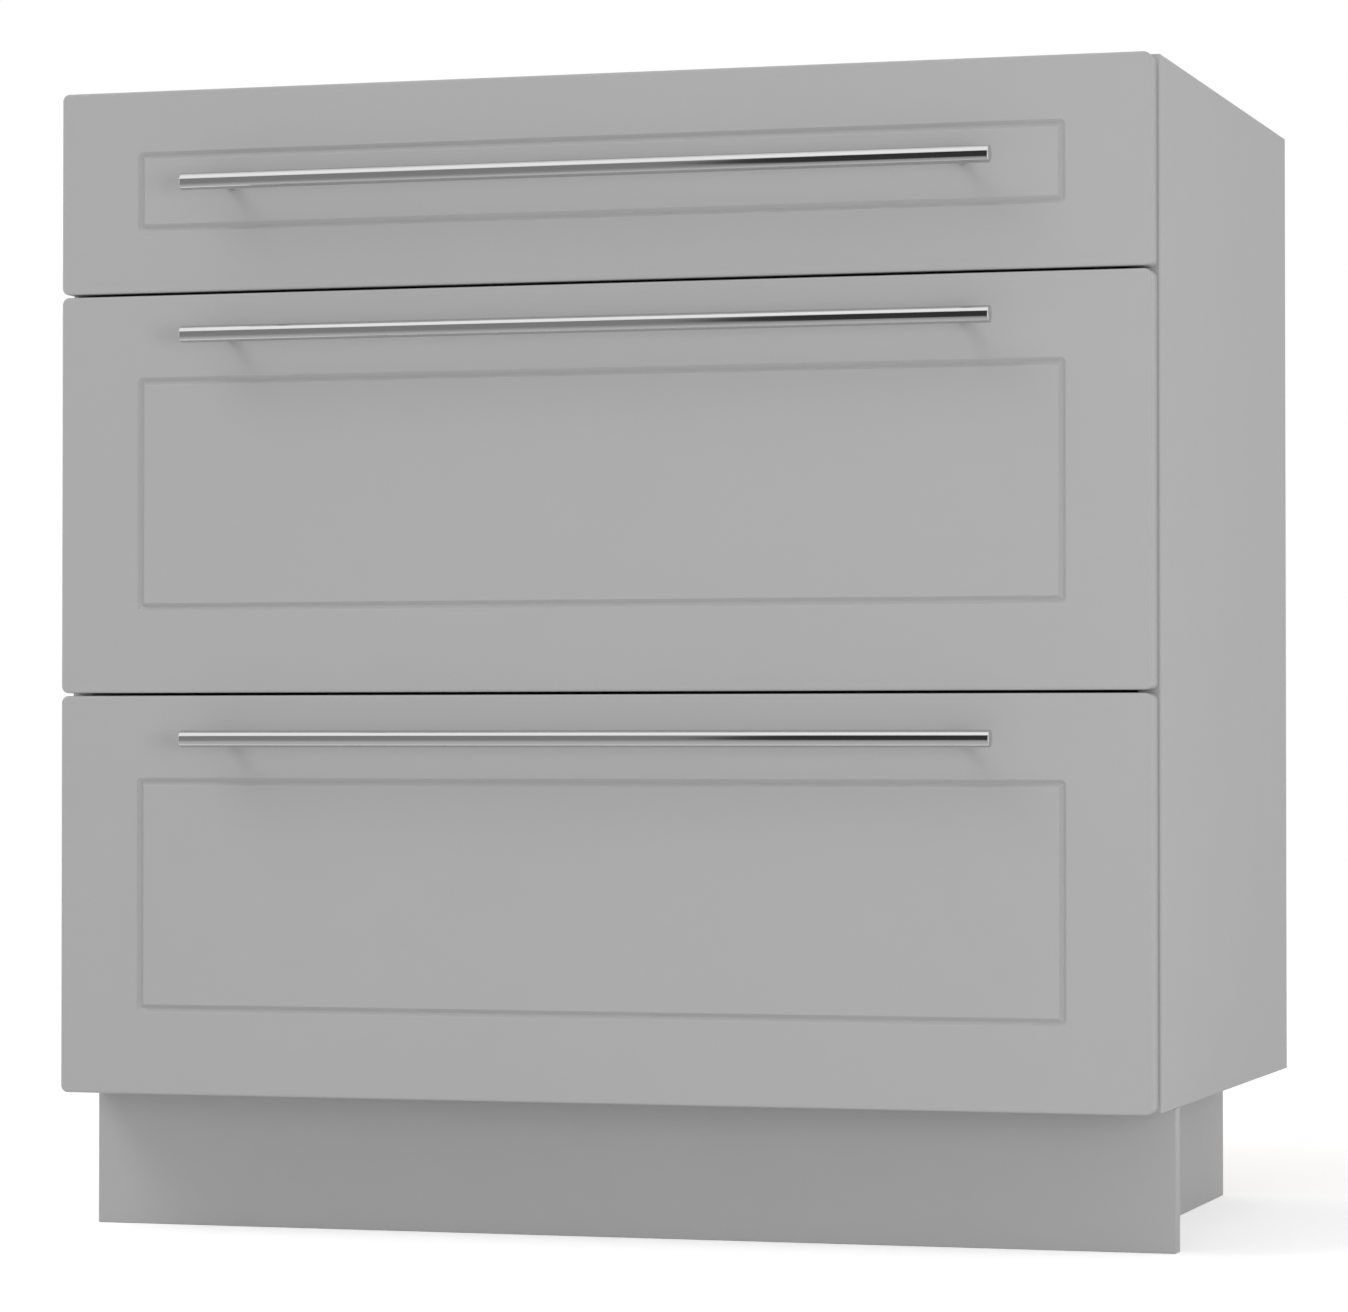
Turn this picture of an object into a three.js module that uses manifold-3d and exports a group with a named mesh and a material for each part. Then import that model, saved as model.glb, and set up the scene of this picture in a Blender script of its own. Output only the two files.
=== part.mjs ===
// A fitted base cabinet with three drawers: a carcass on adjustable legs behind a recessed plinth,
// routed and painted fronts with bar handles, and steel-sided drawers on full-extension runners.
// Millimetres. X to the right, Y to the back, Z up; the open front of the carcass faces -Y.
import * as THREE from "three";
import { mergeVertices } from "three/addons/utils/BufferGeometryUtils.js";
import Module from "manifold-3d";

// ---------------------------------------------------------------- driving sizes
const seat = 0.3; // gap left between two pieces that touch
const running = 0.5; // gap left between two pieces that slide

const carcass = {
  width: 800,
  height: 720,
  depth: 500,
  board: 16,
  easing: 1, // radius of the edge banding
  railDepth: 100, // the two flat rails that join the sides at the top
  railHole: 3, // radius of the holes for the screws of a worktop
  railHoleSpacing: 200,
  backThickness: 3,
  backInset: 16, // from the rear edges to the back panel
  grooveDepth: 8,
};

const leg = {
  height: 100, // floor to the underside of the carcass
  sideInset: 105,
  frontInset: 100,
  rearInset: 60,
  flangeRadius: 30,
  flangeThickness: 4,
  tubeRadius: 15,
  tubeLength: 62,
  stemRadius: 9,
  stemTop: 78, // above the floor, with the foot screwed in
  footRadius: 24,
  footThickness: 7,
  ribs: 8, // between the tube and the flange
  ribThickness: 1.6,
  ribHeight: 25,
  ribReach: 11,
};

const plinth = {
  board: 16,
  frontSetback: 49, // behind the front edges of the carcass
  sideInset: 50, // inside the outer faces of the carcass
  clipHeight: 16,
  clipLift: 50,
  clipPlate: 40,
  clipWall: 3.2,
  clipArm: 12,
  clipMouth: Math.PI / 3.6, // half the opening of the snap ring
};

const front = {
  thickness: 22,
  standoff: 2.5, // room for the soft bumpers
  topReveal: 1,
  sideReveal: 1.5,
  gap: 2,
  shallowHeight: 145,
  cornerRadius: 5,
  edgeRadius: 2,
  backEasing: 0.6,
};

const groove = {
  margin: 61.5, // from the edges of a front to the middle of its routed line
  shallowMargin: 46.5, // the same at the top and bottom of the shallow front
  halfWidth: 2.6,
  depth: 2.1,
  cornerRadius: 3.4, // of the outer corners
  innerCorner: 0.5,
};

const handle = {
  length: 588,
  radius: 6,
  chamfer: 0.8,
  postSpacing: 535,
  postRadius: 4,
  projection: 35,
  drop: 31, // from the top of a deep front to the middle of the bar
  shallowDrop: 69.5,
};

const runner = {
  sheet: 1.5,
  setback: 3, // behind the front edges of the carcass
  rearSpace: 47, // from the end of the runner to the rear edges
  lift: 22.5, // above the lower edge of the front
  webHeight: 34, // the flange that is screwed to the side
  channelStart: 5, // from the side of the carcass
  channelWidth: 20,
  channelHeight: 10,
  lip: 6,
  screwHole: 2.5, // radius of the holes in the flange
  screwRows: [34, 226, 386], // from the front end of the runner
  screwLift: 22,
  floatingSetback: 10,
  shortfall: 10, // the travel is this much less than the length of the runner
};

const drawer = {
  wall: 13, // over both steel skins of a drawer side
  skin: 1.2,
  sideHeight: 100, // above the underside of the runner
  shelf: 11, // the ledge under the base board
  beadLift: 55, // a pressed bead stiffens the inner skin
  beadHeight: 7,
  beadDepth: 1.2,
  board: 16,
  easing: 0.6,
  backDrop: 64, // top of the back board below the top of a deep front
  sideShort: 20, // the drawer side is this much shorter than the runner
  galleryRadius: 5,
  galleryBore: 4,
  galleryDrop: 20, // below the top of the back board
};

const steps = { corner: 6, arc: 4, bar: 24, post: 16, leg: 20 }; // facets of the curves

// ---------------------------------------------------------------- sizes that follow
const innerHalf = carcass.width / 2 - carcass.board;
const top = leg.height + carcass.height;
const frontWidth = carcass.width - 2 * front.sideReveal;
const frontBack = -front.standoff;
const frontFace = frontBack - front.thickness;
const deepHeight =
  (carcass.height - front.topReveal - front.shallowHeight - 2 * front.gap) / 2;
const runnerLength = carcass.depth - runner.setback - runner.rearSpace;
const travel = runnerLength - runner.shortfall;
const sideLength = runnerLength - drawer.sideShort;

const rows = [
  { name: "bottom", z: leg.height, height: deepHeight, deep: true },
  { name: "middle", z: leg.height + deepHeight + front.gap, height: deepHeight, deep: true },
  {
    name: "top",
    z: leg.height + 2 * (deepHeight + front.gap),
    height: front.shallowHeight,
    deep: false,
  },
];
const sides = [
  { name: "left", sign: -1 },
  { name: "right", sign: 1 },
];

// ---------------------------------------------------------------- materials
const finish = (color, roughness, metalness = 0) =>
  new THREE.MeshStandardMaterial({ color, roughness, metalness });
const paint = finish(0xb0b0b0, 0.45);
const melamine = finish(0xaeaeae, 0.6);
const steel = finish(0xc9cacc, 0.25, 1);
const galvanised = finish(0xb4b8ba, 0.4, 1);
const coatedSteel = finish(0x8d9093, 0.5, 0.3);
const plastic = finish(0x1c1c1d, 0.55);
const drawerBoard = finish(0xd9d9d7, 0.6);
const hardboard = finish(0xc4c4c2, 0.7);

// ---------------------------------------------------------------- solids
const X = new THREE.Vector3(1, 0, 0);
const Y = new THREE.Vector3(0, 1, 0);
const Z = new THREE.Vector3(0, 0, 1);

const wasm = await Module();
wasm.setup();

function toManifold(geometry) {
  const bare = new THREE.BufferGeometry().setAttribute(
    "position",
    (geometry.index ? geometry.toNonIndexed() : geometry).getAttribute("position"),
  );
  const merged = mergeVertices(bare, 1e-3);
  return new wasm.Manifold(
    new wasm.Mesh({
      numProp: 3,
      vertProperties: merged.attributes.position.array,
      triVerts: new Uint32Array(merged.index.array),
    }),
  );
}

function toGeometry(manifold) {
  const mesh = manifold.getMesh();
  return new THREE.BufferGeometry()
    .setAttribute("position", new THREE.BufferAttribute(mesh.vertProperties, 3))
    .setIndex(new THREE.BufferAttribute(mesh.triVerts, 1));
}

const subtract = (geometry, ...cutters) =>
  toGeometry(cutters.reduce((body, c) => body.subtract(toManifold(c)), toManifold(geometry)));

const unite = (geometry, ...others) =>
  toGeometry(others.reduce((body, o) => body.add(toManifold(o)), toManifold(geometry)));

// Extrudes a profile along an axis from 0 to length. Its two coordinates are the other two axes.
function extrude(shape, length, axis) {
  const settings = { depth: length, bevelEnabled: false, curveSegments: steps.arc };
  const g = new THREE.ExtrudeGeometry(shape, settings);
  if (axis === "x") g.applyMatrix4(new THREE.Matrix4().makeBasis(Y, Z, X));
  if (axis === "y") {
    g.applyMatrix4(new THREE.Matrix4().makeBasis(X, Z, Y.clone().negate()));
    g.translate(0, length, 0);
  }
  return g;
}

const outline = (points) => new THREE.Shape(points.map(([a, b]) => new THREE.Vector2(a, b)));

// A rectangle from (a0, b0) to (a1, b1) with its corners eased.
function easedRectangle(a0, b0, a1, b1, r) {
  const s = new THREE.Shape();
  s.moveTo(a0 + r, b0);
  s.absarc(a1 - r, b0 + r, r, -Math.PI / 2, 0, false);
  s.absarc(a1 - r, b1 - r, r, 0, Math.PI / 2, false);
  s.absarc(a0 + r, b1 - r, r, Math.PI / 2, Math.PI, false);
  s.absarc(a0 + r, b0 + r, r, Math.PI, 1.5 * Math.PI, false);
  return s;
}

// Revolves a profile of [radius, height] points about Z.
function revolve(points, segments) {
  const profile = points.map(([r, z]) => new THREE.Vector2(r, z));
  return new THREE.LatheGeometry(profile, segments).rotateX(Math.PI / 2);
}

function cylinder(radius, length, segments, axis) {
  const g = new THREE.CylinderGeometry(radius, radius, length, segments);
  if (axis === "x") g.rotateZ(Math.PI / 2);
  if (axis === "z") g.rotateX(Math.PI / 2);
  return g;
}

// Joins a stack of rings, each with the same number of points, into one closed skin.
function loft(rings) {
  const count = rings[0].length;
  const index = [];
  for (let k = 0; k < rings.length - 1; k++)
    for (let i = 0; i < count; i++) {
      const j = (i + 1) % count;
      const [a, b, c, d] = [k * count + i, k * count + j, (k + 1) * count + j, (k + 1) * count + i];
      index.push(a, b, c, a, c, d);
    }
  const last = (rings.length - 1) * count;
  for (let i = 1; i < count - 1; i++) index.push(0, i + 1, i, last, last + i, last + i + 1);
  const g = new THREE.BufferGeometry();
  g.setAttribute("position", new THREE.Float32BufferAttribute(rings.flat(2), 3));
  g.setIndex(index);
  return g;
}

function add(group, name, geometry, material, x = 0, y = 0, z = 0, mirror = false) {
  const mesh = new THREE.Mesh(geometry, material);
  mesh.name = name;
  mesh.position.set(x, y, z);
  if (mirror) mesh.scale.x = -1;
  group.add(mesh);
  return mesh;
}

// Pieces that come in pairs are drawn with x running inwards from the left side of the carcass.
const addPair = (group, name, geometry, material, y, z) =>
  sides.forEach(({ name: side, sign }) =>
    add(group, `${name}_${side}`, geometry, material, sign * innerHalf, y, z, sign > 0),
  );

// ---------------------------------------------------------------- carcass
function buildCarcass() {
  const group = new THREE.Group();
  const { board, depth, easing } = carcass;
  const grooveFront = depth - carcass.backInset - carcass.backThickness - seat;
  const grooveRear = depth - carcass.backInset + seat;
  const span = 2 * (innerHalf - seat);

  const side = new THREE.Shape();
  side.moveTo(0, easing);
  side.lineTo(0, grooveFront);
  side.lineTo(-carcass.grooveDepth, grooveFront);
  side.lineTo(-carcass.grooveDepth, grooveRear);
  side.lineTo(0, grooveRear);
  side.lineTo(0, depth);
  side.lineTo(-board, depth);
  side.absarc(-board + easing, easing, easing, Math.PI, 1.5 * Math.PI, false);
  side.absarc(-easing, easing, easing, -Math.PI / 2, 0, false);
  addPair(group, "carcass_side", extrude(side, carcass.height, "z"), melamine, 0, leg.height);

  // The bottom and the rear rail are grooved for the back panel, one on top and one underneath.
  const grooved = (start, groovedTop) => {
    const near = groovedTop ? board : 0;
    const far = groovedTop ? board - carcass.grooveDepth : carcass.grooveDepth;
    const cut = [
      [grooveRear, near],
      [grooveRear, far],
      [grooveFront, far],
      [grooveFront, near],
    ];
    const bottomEdge = [[start, 0], ...(groovedTop ? [] : cut.reverse()), [depth, 0]];
    const topEdge = [[depth, board], ...(groovedTop ? cut : []), [start, board]];
    return extrude(outline([...bottomEdge, ...topEdge]), span, "x").translate(-span / 2, 0, 0);
  };
  add(group, "carcass_bottom", grooved(0, true), melamine, 0, 0, leg.height);

  const bored = (rail, start) =>
    subtract(
      rail,
      ...[-1.5, -0.5, 0.5, 1.5].map((place) =>
        cylinder(carcass.railHole, 4 * board, steps.post, "z").translate(
          place * carcass.railHoleSpacing,
          start + carcass.railDepth / 2,
          0,
        ),
      ),
    );
  const rearStart = depth - carcass.railDepth;
  const rearRail = bored(grooved(rearStart, false), rearStart);
  add(group, "carcass_rail_rear", rearRail, melamine, 0, 0, top - board);
  const frontSection = easedRectangle(0, 0, carcass.railDepth, board, easing);
  const frontRail = bored(extrude(frontSection, span, "x").translate(-span / 2, 0, 0), 0);
  add(group, "carcass_rail_front", frontRail, melamine, 0, 0, top - board);

  const entry = carcass.grooveDepth - seat;
  const backWidth = 2 * (innerHalf + entry);
  const backHeight = carcass.height - 2 * board + 2 * entry;
  add(
    group,
    "carcass_back",
    new THREE.BoxGeometry(backWidth, carcass.backThickness, backHeight),
    hardboard,
    0,
    depth - carcass.backInset - carcass.backThickness / 2,
    leg.height + carcass.height / 2,
  );
  return group;
}

// ---------------------------------------------------------------- legs and plinth
// A tube under a flange, stiffened by ribs that slope from the flange down to the tube.
function socketGeometry() {
  const { flangeRadius, flangeThickness, tubeRadius, tubeLength, stemRadius } = leg;
  const bore = stemRadius + running;
  const rim = leg.height - seat;
  const boreEnd = rim - flangeThickness;
  const ribFoot = boreEnd - leg.ribHeight;
  const ribStart = (bore + tubeRadius) / 2;
  const ribProfile = outline([
    [ribStart, ribFoot],
    [tubeRadius + 1, ribFoot],
    [tubeRadius + leg.ribReach, boreEnd - 1],
    [tubeRadius + leg.ribReach, boreEnd + 1],
    [ribStart, boreEnd + 1],
  ]);
  const rib = extrude(ribProfile, leg.ribThickness, "y").translate(0, -leg.ribThickness / 2, 0);
  const ribs = Array.from({ length: leg.ribs }, (_, i) =>
    rib.clone().rotateZ(((i + 0.5) / leg.ribs) * 2 * Math.PI),
  );
  const body = revolve(
    [
      [0, boreEnd],
      [bore, boreEnd],
      [bore, rim - tubeLength],
      [tubeRadius, rim - tubeLength],
      [tubeRadius, rim - 3 * flangeThickness],
      [tubeRadius + 1.5, rim - 2 * flangeThickness],
      [flangeRadius - 2, rim - flangeThickness],
      [flangeRadius, rim - flangeThickness + 1],
      [flangeRadius, rim],
      [0, rim],
    ],
    steps.leg,
  );
  return unite(body, ...ribs);
}

function footGeometry() {
  const { stemRadius, stemTop, footRadius, footThickness, tubeRadius } = leg;
  return revolve(
    [
      [0, 0],
      [footRadius - 1.5, 0],
      [footRadius, 1.5],
      [footRadius, footThickness - 2],
      [footRadius - 2, footThickness],
      [tubeRadius, footThickness + 4],
      [tubeRadius - 2, 2 * footThickness + 4],
      [stemRadius, 2 * footThickness + 8],
      [stemRadius, stemTop - 2],
      [stemRadius - 2, stemTop],
      [0, stemTop],
    ],
    steps.leg,
  );
}

// A snap ring round the front leg, with an arm to a plate on the back of the plinth.
function clipGeometry() {
  const inner = leg.tubeRadius + seat;
  const outer = inner + plinth.clipWall;
  const plateFront = -(leg.frontInset - plinth.frontSetback - plinth.board) + seat;
  const plateBack = plateFront + plinth.clipWall;
  const armHalf = plinth.clipArm / 2;
  const armAngle = Math.asin(armHalf / outer);
  const mouth = [Math.PI / 2 - plinth.clipMouth, Math.PI / 2 + plinth.clipMouth];
  const s = new THREE.Shape();
  s.moveTo(-plinth.clipPlate / 2, plateFront);
  s.lineTo(plinth.clipPlate / 2, plateFront);
  s.lineTo(plinth.clipPlate / 2, plateBack);
  s.lineTo(armHalf, plateBack);
  s.absarc(0, 0, outer, -Math.PI / 2 + armAngle, mouth[0], false);
  s.absarc(0, 0, inner, mouth[0], mouth[1] - 2 * Math.PI, true);
  s.absarc(0, 0, outer, mouth[1], 1.5 * Math.PI - armAngle, false);
  s.lineTo(-armHalf, plateBack);
  s.lineTo(-plinth.clipPlate / 2, plateBack);
  const settings = { depth: plinth.clipHeight, bevelEnabled: false, curveSegments: steps.leg / 2 };
  return new THREE.ExtrudeGeometry(s, settings);
}

function buildLegs() {
  const group = new THREE.Group();
  const ends = [
    { name: "front", y: leg.frontInset },
    { name: "rear", y: carcass.depth - leg.rearInset },
  ];
  for (const { name: end, y } of ends)
    for (const { name: side, sign } of sides) {
      const x = sign * (carcass.width / 2 - leg.sideInset);
      add(group, `leg_socket_${end}_${side}`, socketGeometry(), plastic, x, y);
      add(group, `leg_foot_${end}_${side}`, footGeometry(), plastic, x, y);
      if (end === "front")
        add(group, `plinth_clip_${side}`, clipGeometry(), plastic, x, y, plinth.clipLift);
    }
  return group;
}

function buildPlinth() {
  const group = new THREE.Group();
  const { board, frontSetback, sideInset } = plinth;
  const height = leg.height - seat;
  const { easing } = carcass;
  const face = easedRectangle(0, 0, board, height, easing);
  const long = extrude(face, carcass.width, "x");
  add(group, "plinth_front", long, melamine, -carcass.width / 2, frontSetback);
  const start = frontSetback + board + seat;
  const short = extrude(face, carcass.depth - start, "y");
  for (const { name, sign } of sides) {
    const outer = sign * (carcass.width / 2 - sideInset);
    add(group, `plinth_${name}`, short, melamine, outer, start, 0, sign > 0);
  }
  return group;
}

// ---------------------------------------------------------------- fronts and handles
// One ring of a front: a rounded rectangle, inset from the edges, at a depth behind the face.
function frontRing(height, insetX, insetZ, depth, radius) {
  const points = [];
  const halfX = frontWidth / 2 - insetX - radius;
  const halfZ = height / 2 - insetZ - radius;
  for (const [cornerX, cornerZ, start] of [
    [halfX, halfZ, 0],
    [-halfX, halfZ, 1],
    [-halfX, -halfZ, 2],
    [halfX, -halfZ, 3],
  ])
    for (let i = 0; i <= steps.corner; i++) {
      const a = (start + i / steps.corner) * (Math.PI / 2);
      points.push([
        cornerX + radius * Math.cos(a),
        frontFace + depth,
        cornerZ + height / 2 + radius * Math.sin(a),
      ]);
    }
  return points;
}

// From the back of the board, over its rounded edge and the face, and down into the routed line,
// whose inner corners are left almost sharp by the round cutter.
function frontGeometry({ height, deep }) {
  const { thickness, cornerRadius, edgeRadius, backEasing } = front;
  const edge = (inset, depth) => frontRing(height, inset, inset, depth, cornerRadius - inset);
  const rings = [edge(backEasing, thickness), edge(0, thickness - backEasing)];
  for (let i = 0; i <= steps.arc; i++) {
    const a = (i / steps.arc) * (Math.PI / 2);
    rings.push(edge(edgeRadius * (1 - Math.cos(a)), edgeRadius * (1 - Math.sin(a))));
  }
  const marginZ = deep ? groove.margin : groove.shallowMargin;
  const lineSteps = 2 * steps.arc;
  for (let i = 0; i <= lineSteps; i++) {
    const a = (i / lineSteps) * Math.PI;
    const across = groove.halfWidth * Math.cos(a);
    const depth = i % lineSteps ? groove.depth * Math.sin(a) : 0;
    const radius = Math.max(groove.innerCorner, groove.cornerRadius - groove.halfWidth + across);
    rings.push(frontRing(height, groove.margin - across, marginZ - across, depth, radius));
  }
  return loft(rings);
}

function barGeometry() {
  const { radius, chamfer, length } = handle;
  const profile = [
    [0, -length / 2],
    [radius - chamfer, -length / 2],
    [radius, -length / 2 + chamfer],
    [radius, length / 2 - chamfer],
    [radius - chamfer, length / 2],
    [0, length / 2],
  ];
  return revolve(profile, steps.bar).rotateY(Math.PI / 2);
}

// The post's outer end is a saddle that fits the round of the bar.
function postGeometry() {
  const reach = handle.projection - handle.radius - seat;
  const post = cylinder(handle.postRadius, reach, steps.post, "y").translate(0, reach / 2, 0);
  const bar = cylinder(handle.radius + seat, 4 * handle.postRadius, steps.bar, "x");
  return subtract(post, bar);
}

function buildFront(group, row) {
  add(group, `${row.name}_drawer_front`, frontGeometry(row), paint);
  const barY = frontFace - handle.projection + handle.radius;
  const barZ = row.height - (row.deep ? handle.drop : handle.shallowDrop);
  add(group, `${row.name}_handle_bar`, barGeometry(), steel, 0, barY, barZ);
  for (const { name, sign } of sides) {
    const x = (sign * handle.postSpacing) / 2;
    add(group, `${row.name}_handle_post_${name}`, postGeometry(), steel, x, barY, barZ);
  }
}

// ---------------------------------------------------------------- runners and drawer boxes
// Runner sections, x from the side of the carcass and z from the underside of the runner. The
// cabinet rail is a channel open upwards, the drawer rail one open downwards, and the floating
// rail is an I-beam whose flanges run inside the two.
const channel = {
  start: runner.channelStart,
  end: runner.channelStart + runner.channelWidth,
  slotStart: runner.channelStart + runner.lip,
  slotEnd: runner.channelStart + runner.channelWidth - runner.lip,
};
const drawerRailBottom = runner.channelHeight + 2 * running;
const drawerRailTop = drawerRailBottom + runner.channelHeight;

function cabinetRail() {
  const { sheet: t, channelHeight: h, webHeight } = runner;
  const { start, end, slotStart, slotEnd } = channel;
  return outline([
    [seat, 0],
    [end, 0],
    [end, h],
    [slotEnd, h],
    [slotEnd, h - t],
    [end - t, h - t],
    [end - t, t],
    [start + t, t],
    [start + t, h - t],
    [slotStart, h - t],
    [slotStart, h],
    [start, h],
    [start, t],
    [seat + t, t],
    [seat + t, webHeight],
    [seat, webHeight],
  ]);
}

function floatingRail() {
  const { sheet: t } = runner;
  const middle = (channel.start + channel.end) / 2;
  const left = channel.start + t + running;
  const right = channel.end - t - running;
  const low = t + running;
  const high = drawerRailTop - t - running;
  return outline([
    [left, low],
    [right, low],
    [right, low + t],
    [middle + t / 2, low + t],
    [middle + t / 2, high - t],
    [right, high - t],
    [right, high],
    [left, high],
    [left, high - t],
    [middle - t / 2, high - t],
    [middle - t / 2, low + t],
    [left, low + t],
  ]);
}

// The drawer side: the drawer rail, the ledge for the base board, and above them two steel skins
// under a rounded crown. A bead is pressed into the inner skin.
function drawerSide() {
  const { sheet: t } = runner;
  const { start, end, slotStart, slotEnd } = channel;
  const { wall, skin, sideHeight } = drawer;
  const [low, high] = [drawerRailBottom, drawerRailTop];
  const crown = sideHeight - wall / 2;
  const { beadLift, beadHeight, beadDepth } = drawer;
  const bead = (x) => [
    [x, beadLift],
    [x - beadDepth, beadLift + beadDepth],
    [x - beadDepth, beadLift + beadHeight - beadDepth],
    [x, beadLift + beadHeight],
  ];
  const s = outline([
    [start, low],
    [slotStart, low],
    [slotStart, low + t],
    [start + t, low + t],
    [start + t, high - t],
    [end - t, high - t],
    [end - t, low + t],
    [slotEnd, low + t],
    [slotEnd, low],
    [end, low],
    [end, high - t],
    [end + drawer.shelf, high - t],
    [end + drawer.shelf, high],
    [start + wall, high],
    ...bead(start + wall),
  ]);
  s.absarc(start + wall / 2, crown, wall / 2, 0, Math.PI, false);
  const hollow = new THREE.Path();
  hollow.moveTo(start + skin, high);
  hollow.lineTo(start + wall - skin, high);
  for (const [x, z] of bead(start + wall - skin)) hollow.lineTo(x, z);
  hollow.absarc(start + wall / 2, crown, wall / 2 - skin, 0, Math.PI, false);
  s.holes.push(hollow);
  return s;
}

function buildDrawer(row) {
  const group = new THREE.Group();
  group.position.z = row.z;
  buildFront(group, row);

  const name = `${row.name}_drawer`;
  const start = frontBack + seat;
  const sideEnd = start + sideLength;
  const base = runner.lift + drawerRailTop + seat;
  const wallEnd = channel.start + drawer.wall;
  const side = extrude(drawerSide(), sideLength, "y");
  addPair(group, `${name}_side`, side, coatedSteel, start, runner.lift);

  const boardOf = (inset, z0, z1, y0, y1) => {
    const length = 2 * (innerHalf - inset);
    const section = easedRectangle(y0, z0, y1, z1, drawer.easing);
    return extrude(section, length, "x").translate(-length / 2, 0, 0);
  };
  const baseBoard = boardOf(wallEnd + seat, base, base + drawer.board, start, sideEnd);
  add(group, `${name}_base`, baseBoard, drawerBoard);
  const sideTop = runner.lift + drawer.sideHeight;
  const backTop = row.deep ? Math.max(sideTop, row.height - drawer.backDrop) : sideTop;
  const backStart = sideEnd + seat;
  const backBoard = boardOf(channel.start, base, backTop, backStart, backStart + drawer.board);
  add(group, `${name}_back`, backBoard, drawerBoard);

  if (row.deep) {
    const tube = new THREE.Shape().absarc(0, 0, drawer.galleryRadius, 0, 2 * Math.PI, false);
    tube.holes.push(new THREE.Path().absarc(0, 0, drawer.galleryBore, 0, 2 * Math.PI, false));
    const settings = { depth: sideLength, bevelEnabled: false, curveSegments: steps.post };
    const rail = new THREE.ExtrudeGeometry(tube, settings)
      .rotateX(-Math.PI / 2)
      .translate(channel.start + drawer.wall / 2, 0, 0);
    addPair(group, `${name}_gallery_rail`, rail, coatedSteel, start, backTop - drawer.galleryDrop);
  }
  return group;
}

function buildRunners(row) {
  const group = new THREE.Group();
  group.position.z = row.z + runner.lift;
  const holes = runner.screwRows.map((y) =>
    cylinder(runner.screwHole, 6 * runner.sheet, steps.post, "x").translate(0, y, runner.screwLift),
  );
  const fixed = subtract(extrude(cabinetRail(), runnerLength, "y"), ...holes);
  addPair(group, `${row.name}_cabinet_rail`, fixed, galvanised, runner.setback, 0);
  const floating = extrude(floatingRail(), sideLength, "y");
  addPair(group, `${row.name}_floating_rail`, floating, galvanised, runner.floatingSetback, 0);
  return group;
}

// ---------------------------------------------------------------- assembly
// The origin is on the floor, in the middle of the cabinet's length, depth and handles included.
const cabinet = new THREE.Group();
cabinet.position.y = (handle.projection - frontFace - carcass.depth) / 2;
cabinet.add(buildCarcass(), buildLegs(), buildPlinth());
for (const row of rows) cabinet.add(buildDrawer(row), buildRunners(row));

export default cabinet;
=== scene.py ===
# A fitted base cabinet with three drawers, in a plain studio. Metres, in the frame of the packed
# model: X to the right, Y to the wall, Z up, the origin on the floor under the middle.
import math

import bmesh
import bpy
from mathutils import Matrix, Vector


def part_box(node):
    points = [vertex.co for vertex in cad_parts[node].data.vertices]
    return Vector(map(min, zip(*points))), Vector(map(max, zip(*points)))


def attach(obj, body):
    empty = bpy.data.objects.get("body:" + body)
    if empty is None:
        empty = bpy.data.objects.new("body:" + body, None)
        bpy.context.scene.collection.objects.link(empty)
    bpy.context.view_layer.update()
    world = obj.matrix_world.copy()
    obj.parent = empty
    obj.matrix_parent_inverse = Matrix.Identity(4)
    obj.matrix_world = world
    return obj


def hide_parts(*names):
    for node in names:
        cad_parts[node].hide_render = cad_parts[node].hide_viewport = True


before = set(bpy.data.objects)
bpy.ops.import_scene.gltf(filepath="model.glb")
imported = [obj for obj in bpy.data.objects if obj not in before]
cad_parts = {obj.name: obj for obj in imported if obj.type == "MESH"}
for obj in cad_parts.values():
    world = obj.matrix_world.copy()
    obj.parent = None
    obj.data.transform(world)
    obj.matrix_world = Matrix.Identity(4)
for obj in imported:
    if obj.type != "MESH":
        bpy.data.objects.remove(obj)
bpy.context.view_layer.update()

# ---- studio
# A long lens at sitting height, to the right of the cabinet, as in the photograph. The room is
# evenly bright. One soft lamp high on the left gives the handles faint shadows, and one low on
# the right fills in. Cards that only reflections see draw dark bands along the polished bars.
mm = 0.001  # the scene is in metres
scene = bpy.context.scene
scene.view_settings.view_transform = "Standard"


def srgb(code):
    """A colour written as sRGB hex, as linear numbers."""
    parts = [int(code[i : i + 2], 16) / 255 for i in (1, 3, 5)]
    return [c / 12.92 if c <= 0.04045 else ((c + 0.055) / 1.055) ** 2.4 for c in parts] + [1]


def add_node(tree, kind, inputs=None, **settings):
    """Adds a node. Settings are its properties. Inputs are values, sockets, or nodes to link."""
    made = tree.nodes.new(kind)
    for key, value in settings.items():
        setattr(made, key, value)
    for key, value in (inputs or {}).items():
        if isinstance(value, bpy.types.Node):
            value = value.outputs[0]
        if isinstance(value, bpy.types.NodeSocket):
            tree.links.new(value, made.inputs[key])
        else:
            made.inputs[key].default_value = value
    return made


def new_material(name):
    """An empty node material and its tree."""
    material = bpy.data.materials.new(name)
    material.use_nodes = True
    material.node_tree.nodes.clear()
    return material, material.node_tree


def finish_material(tree, kind, inputs):
    """Ends a material with a shader of this kind, which becomes its surface."""
    add_node(tree, "ShaderNodeOutputMaterial", {"Surface": add_node(tree, kind, inputs)})


def seen_by_lens_or_mirror(tree):
    """1 for what the camera sees directly, or in metal and glass."""
    path = add_node(tree, "ShaderNodeLightPath").outputs
    rays = {0: path["Is Glossy Ray"], 1: path["Is Transmission Ray"]}
    in_mirror = add_node(tree, "ShaderNodeMath", rays, operation="MAXIMUM")
    rays = {0: path["Is Camera Ray"], 1: in_mirror}
    return add_node(tree, "ShaderNodeMath", rays, operation="MAXIMUM")


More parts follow.
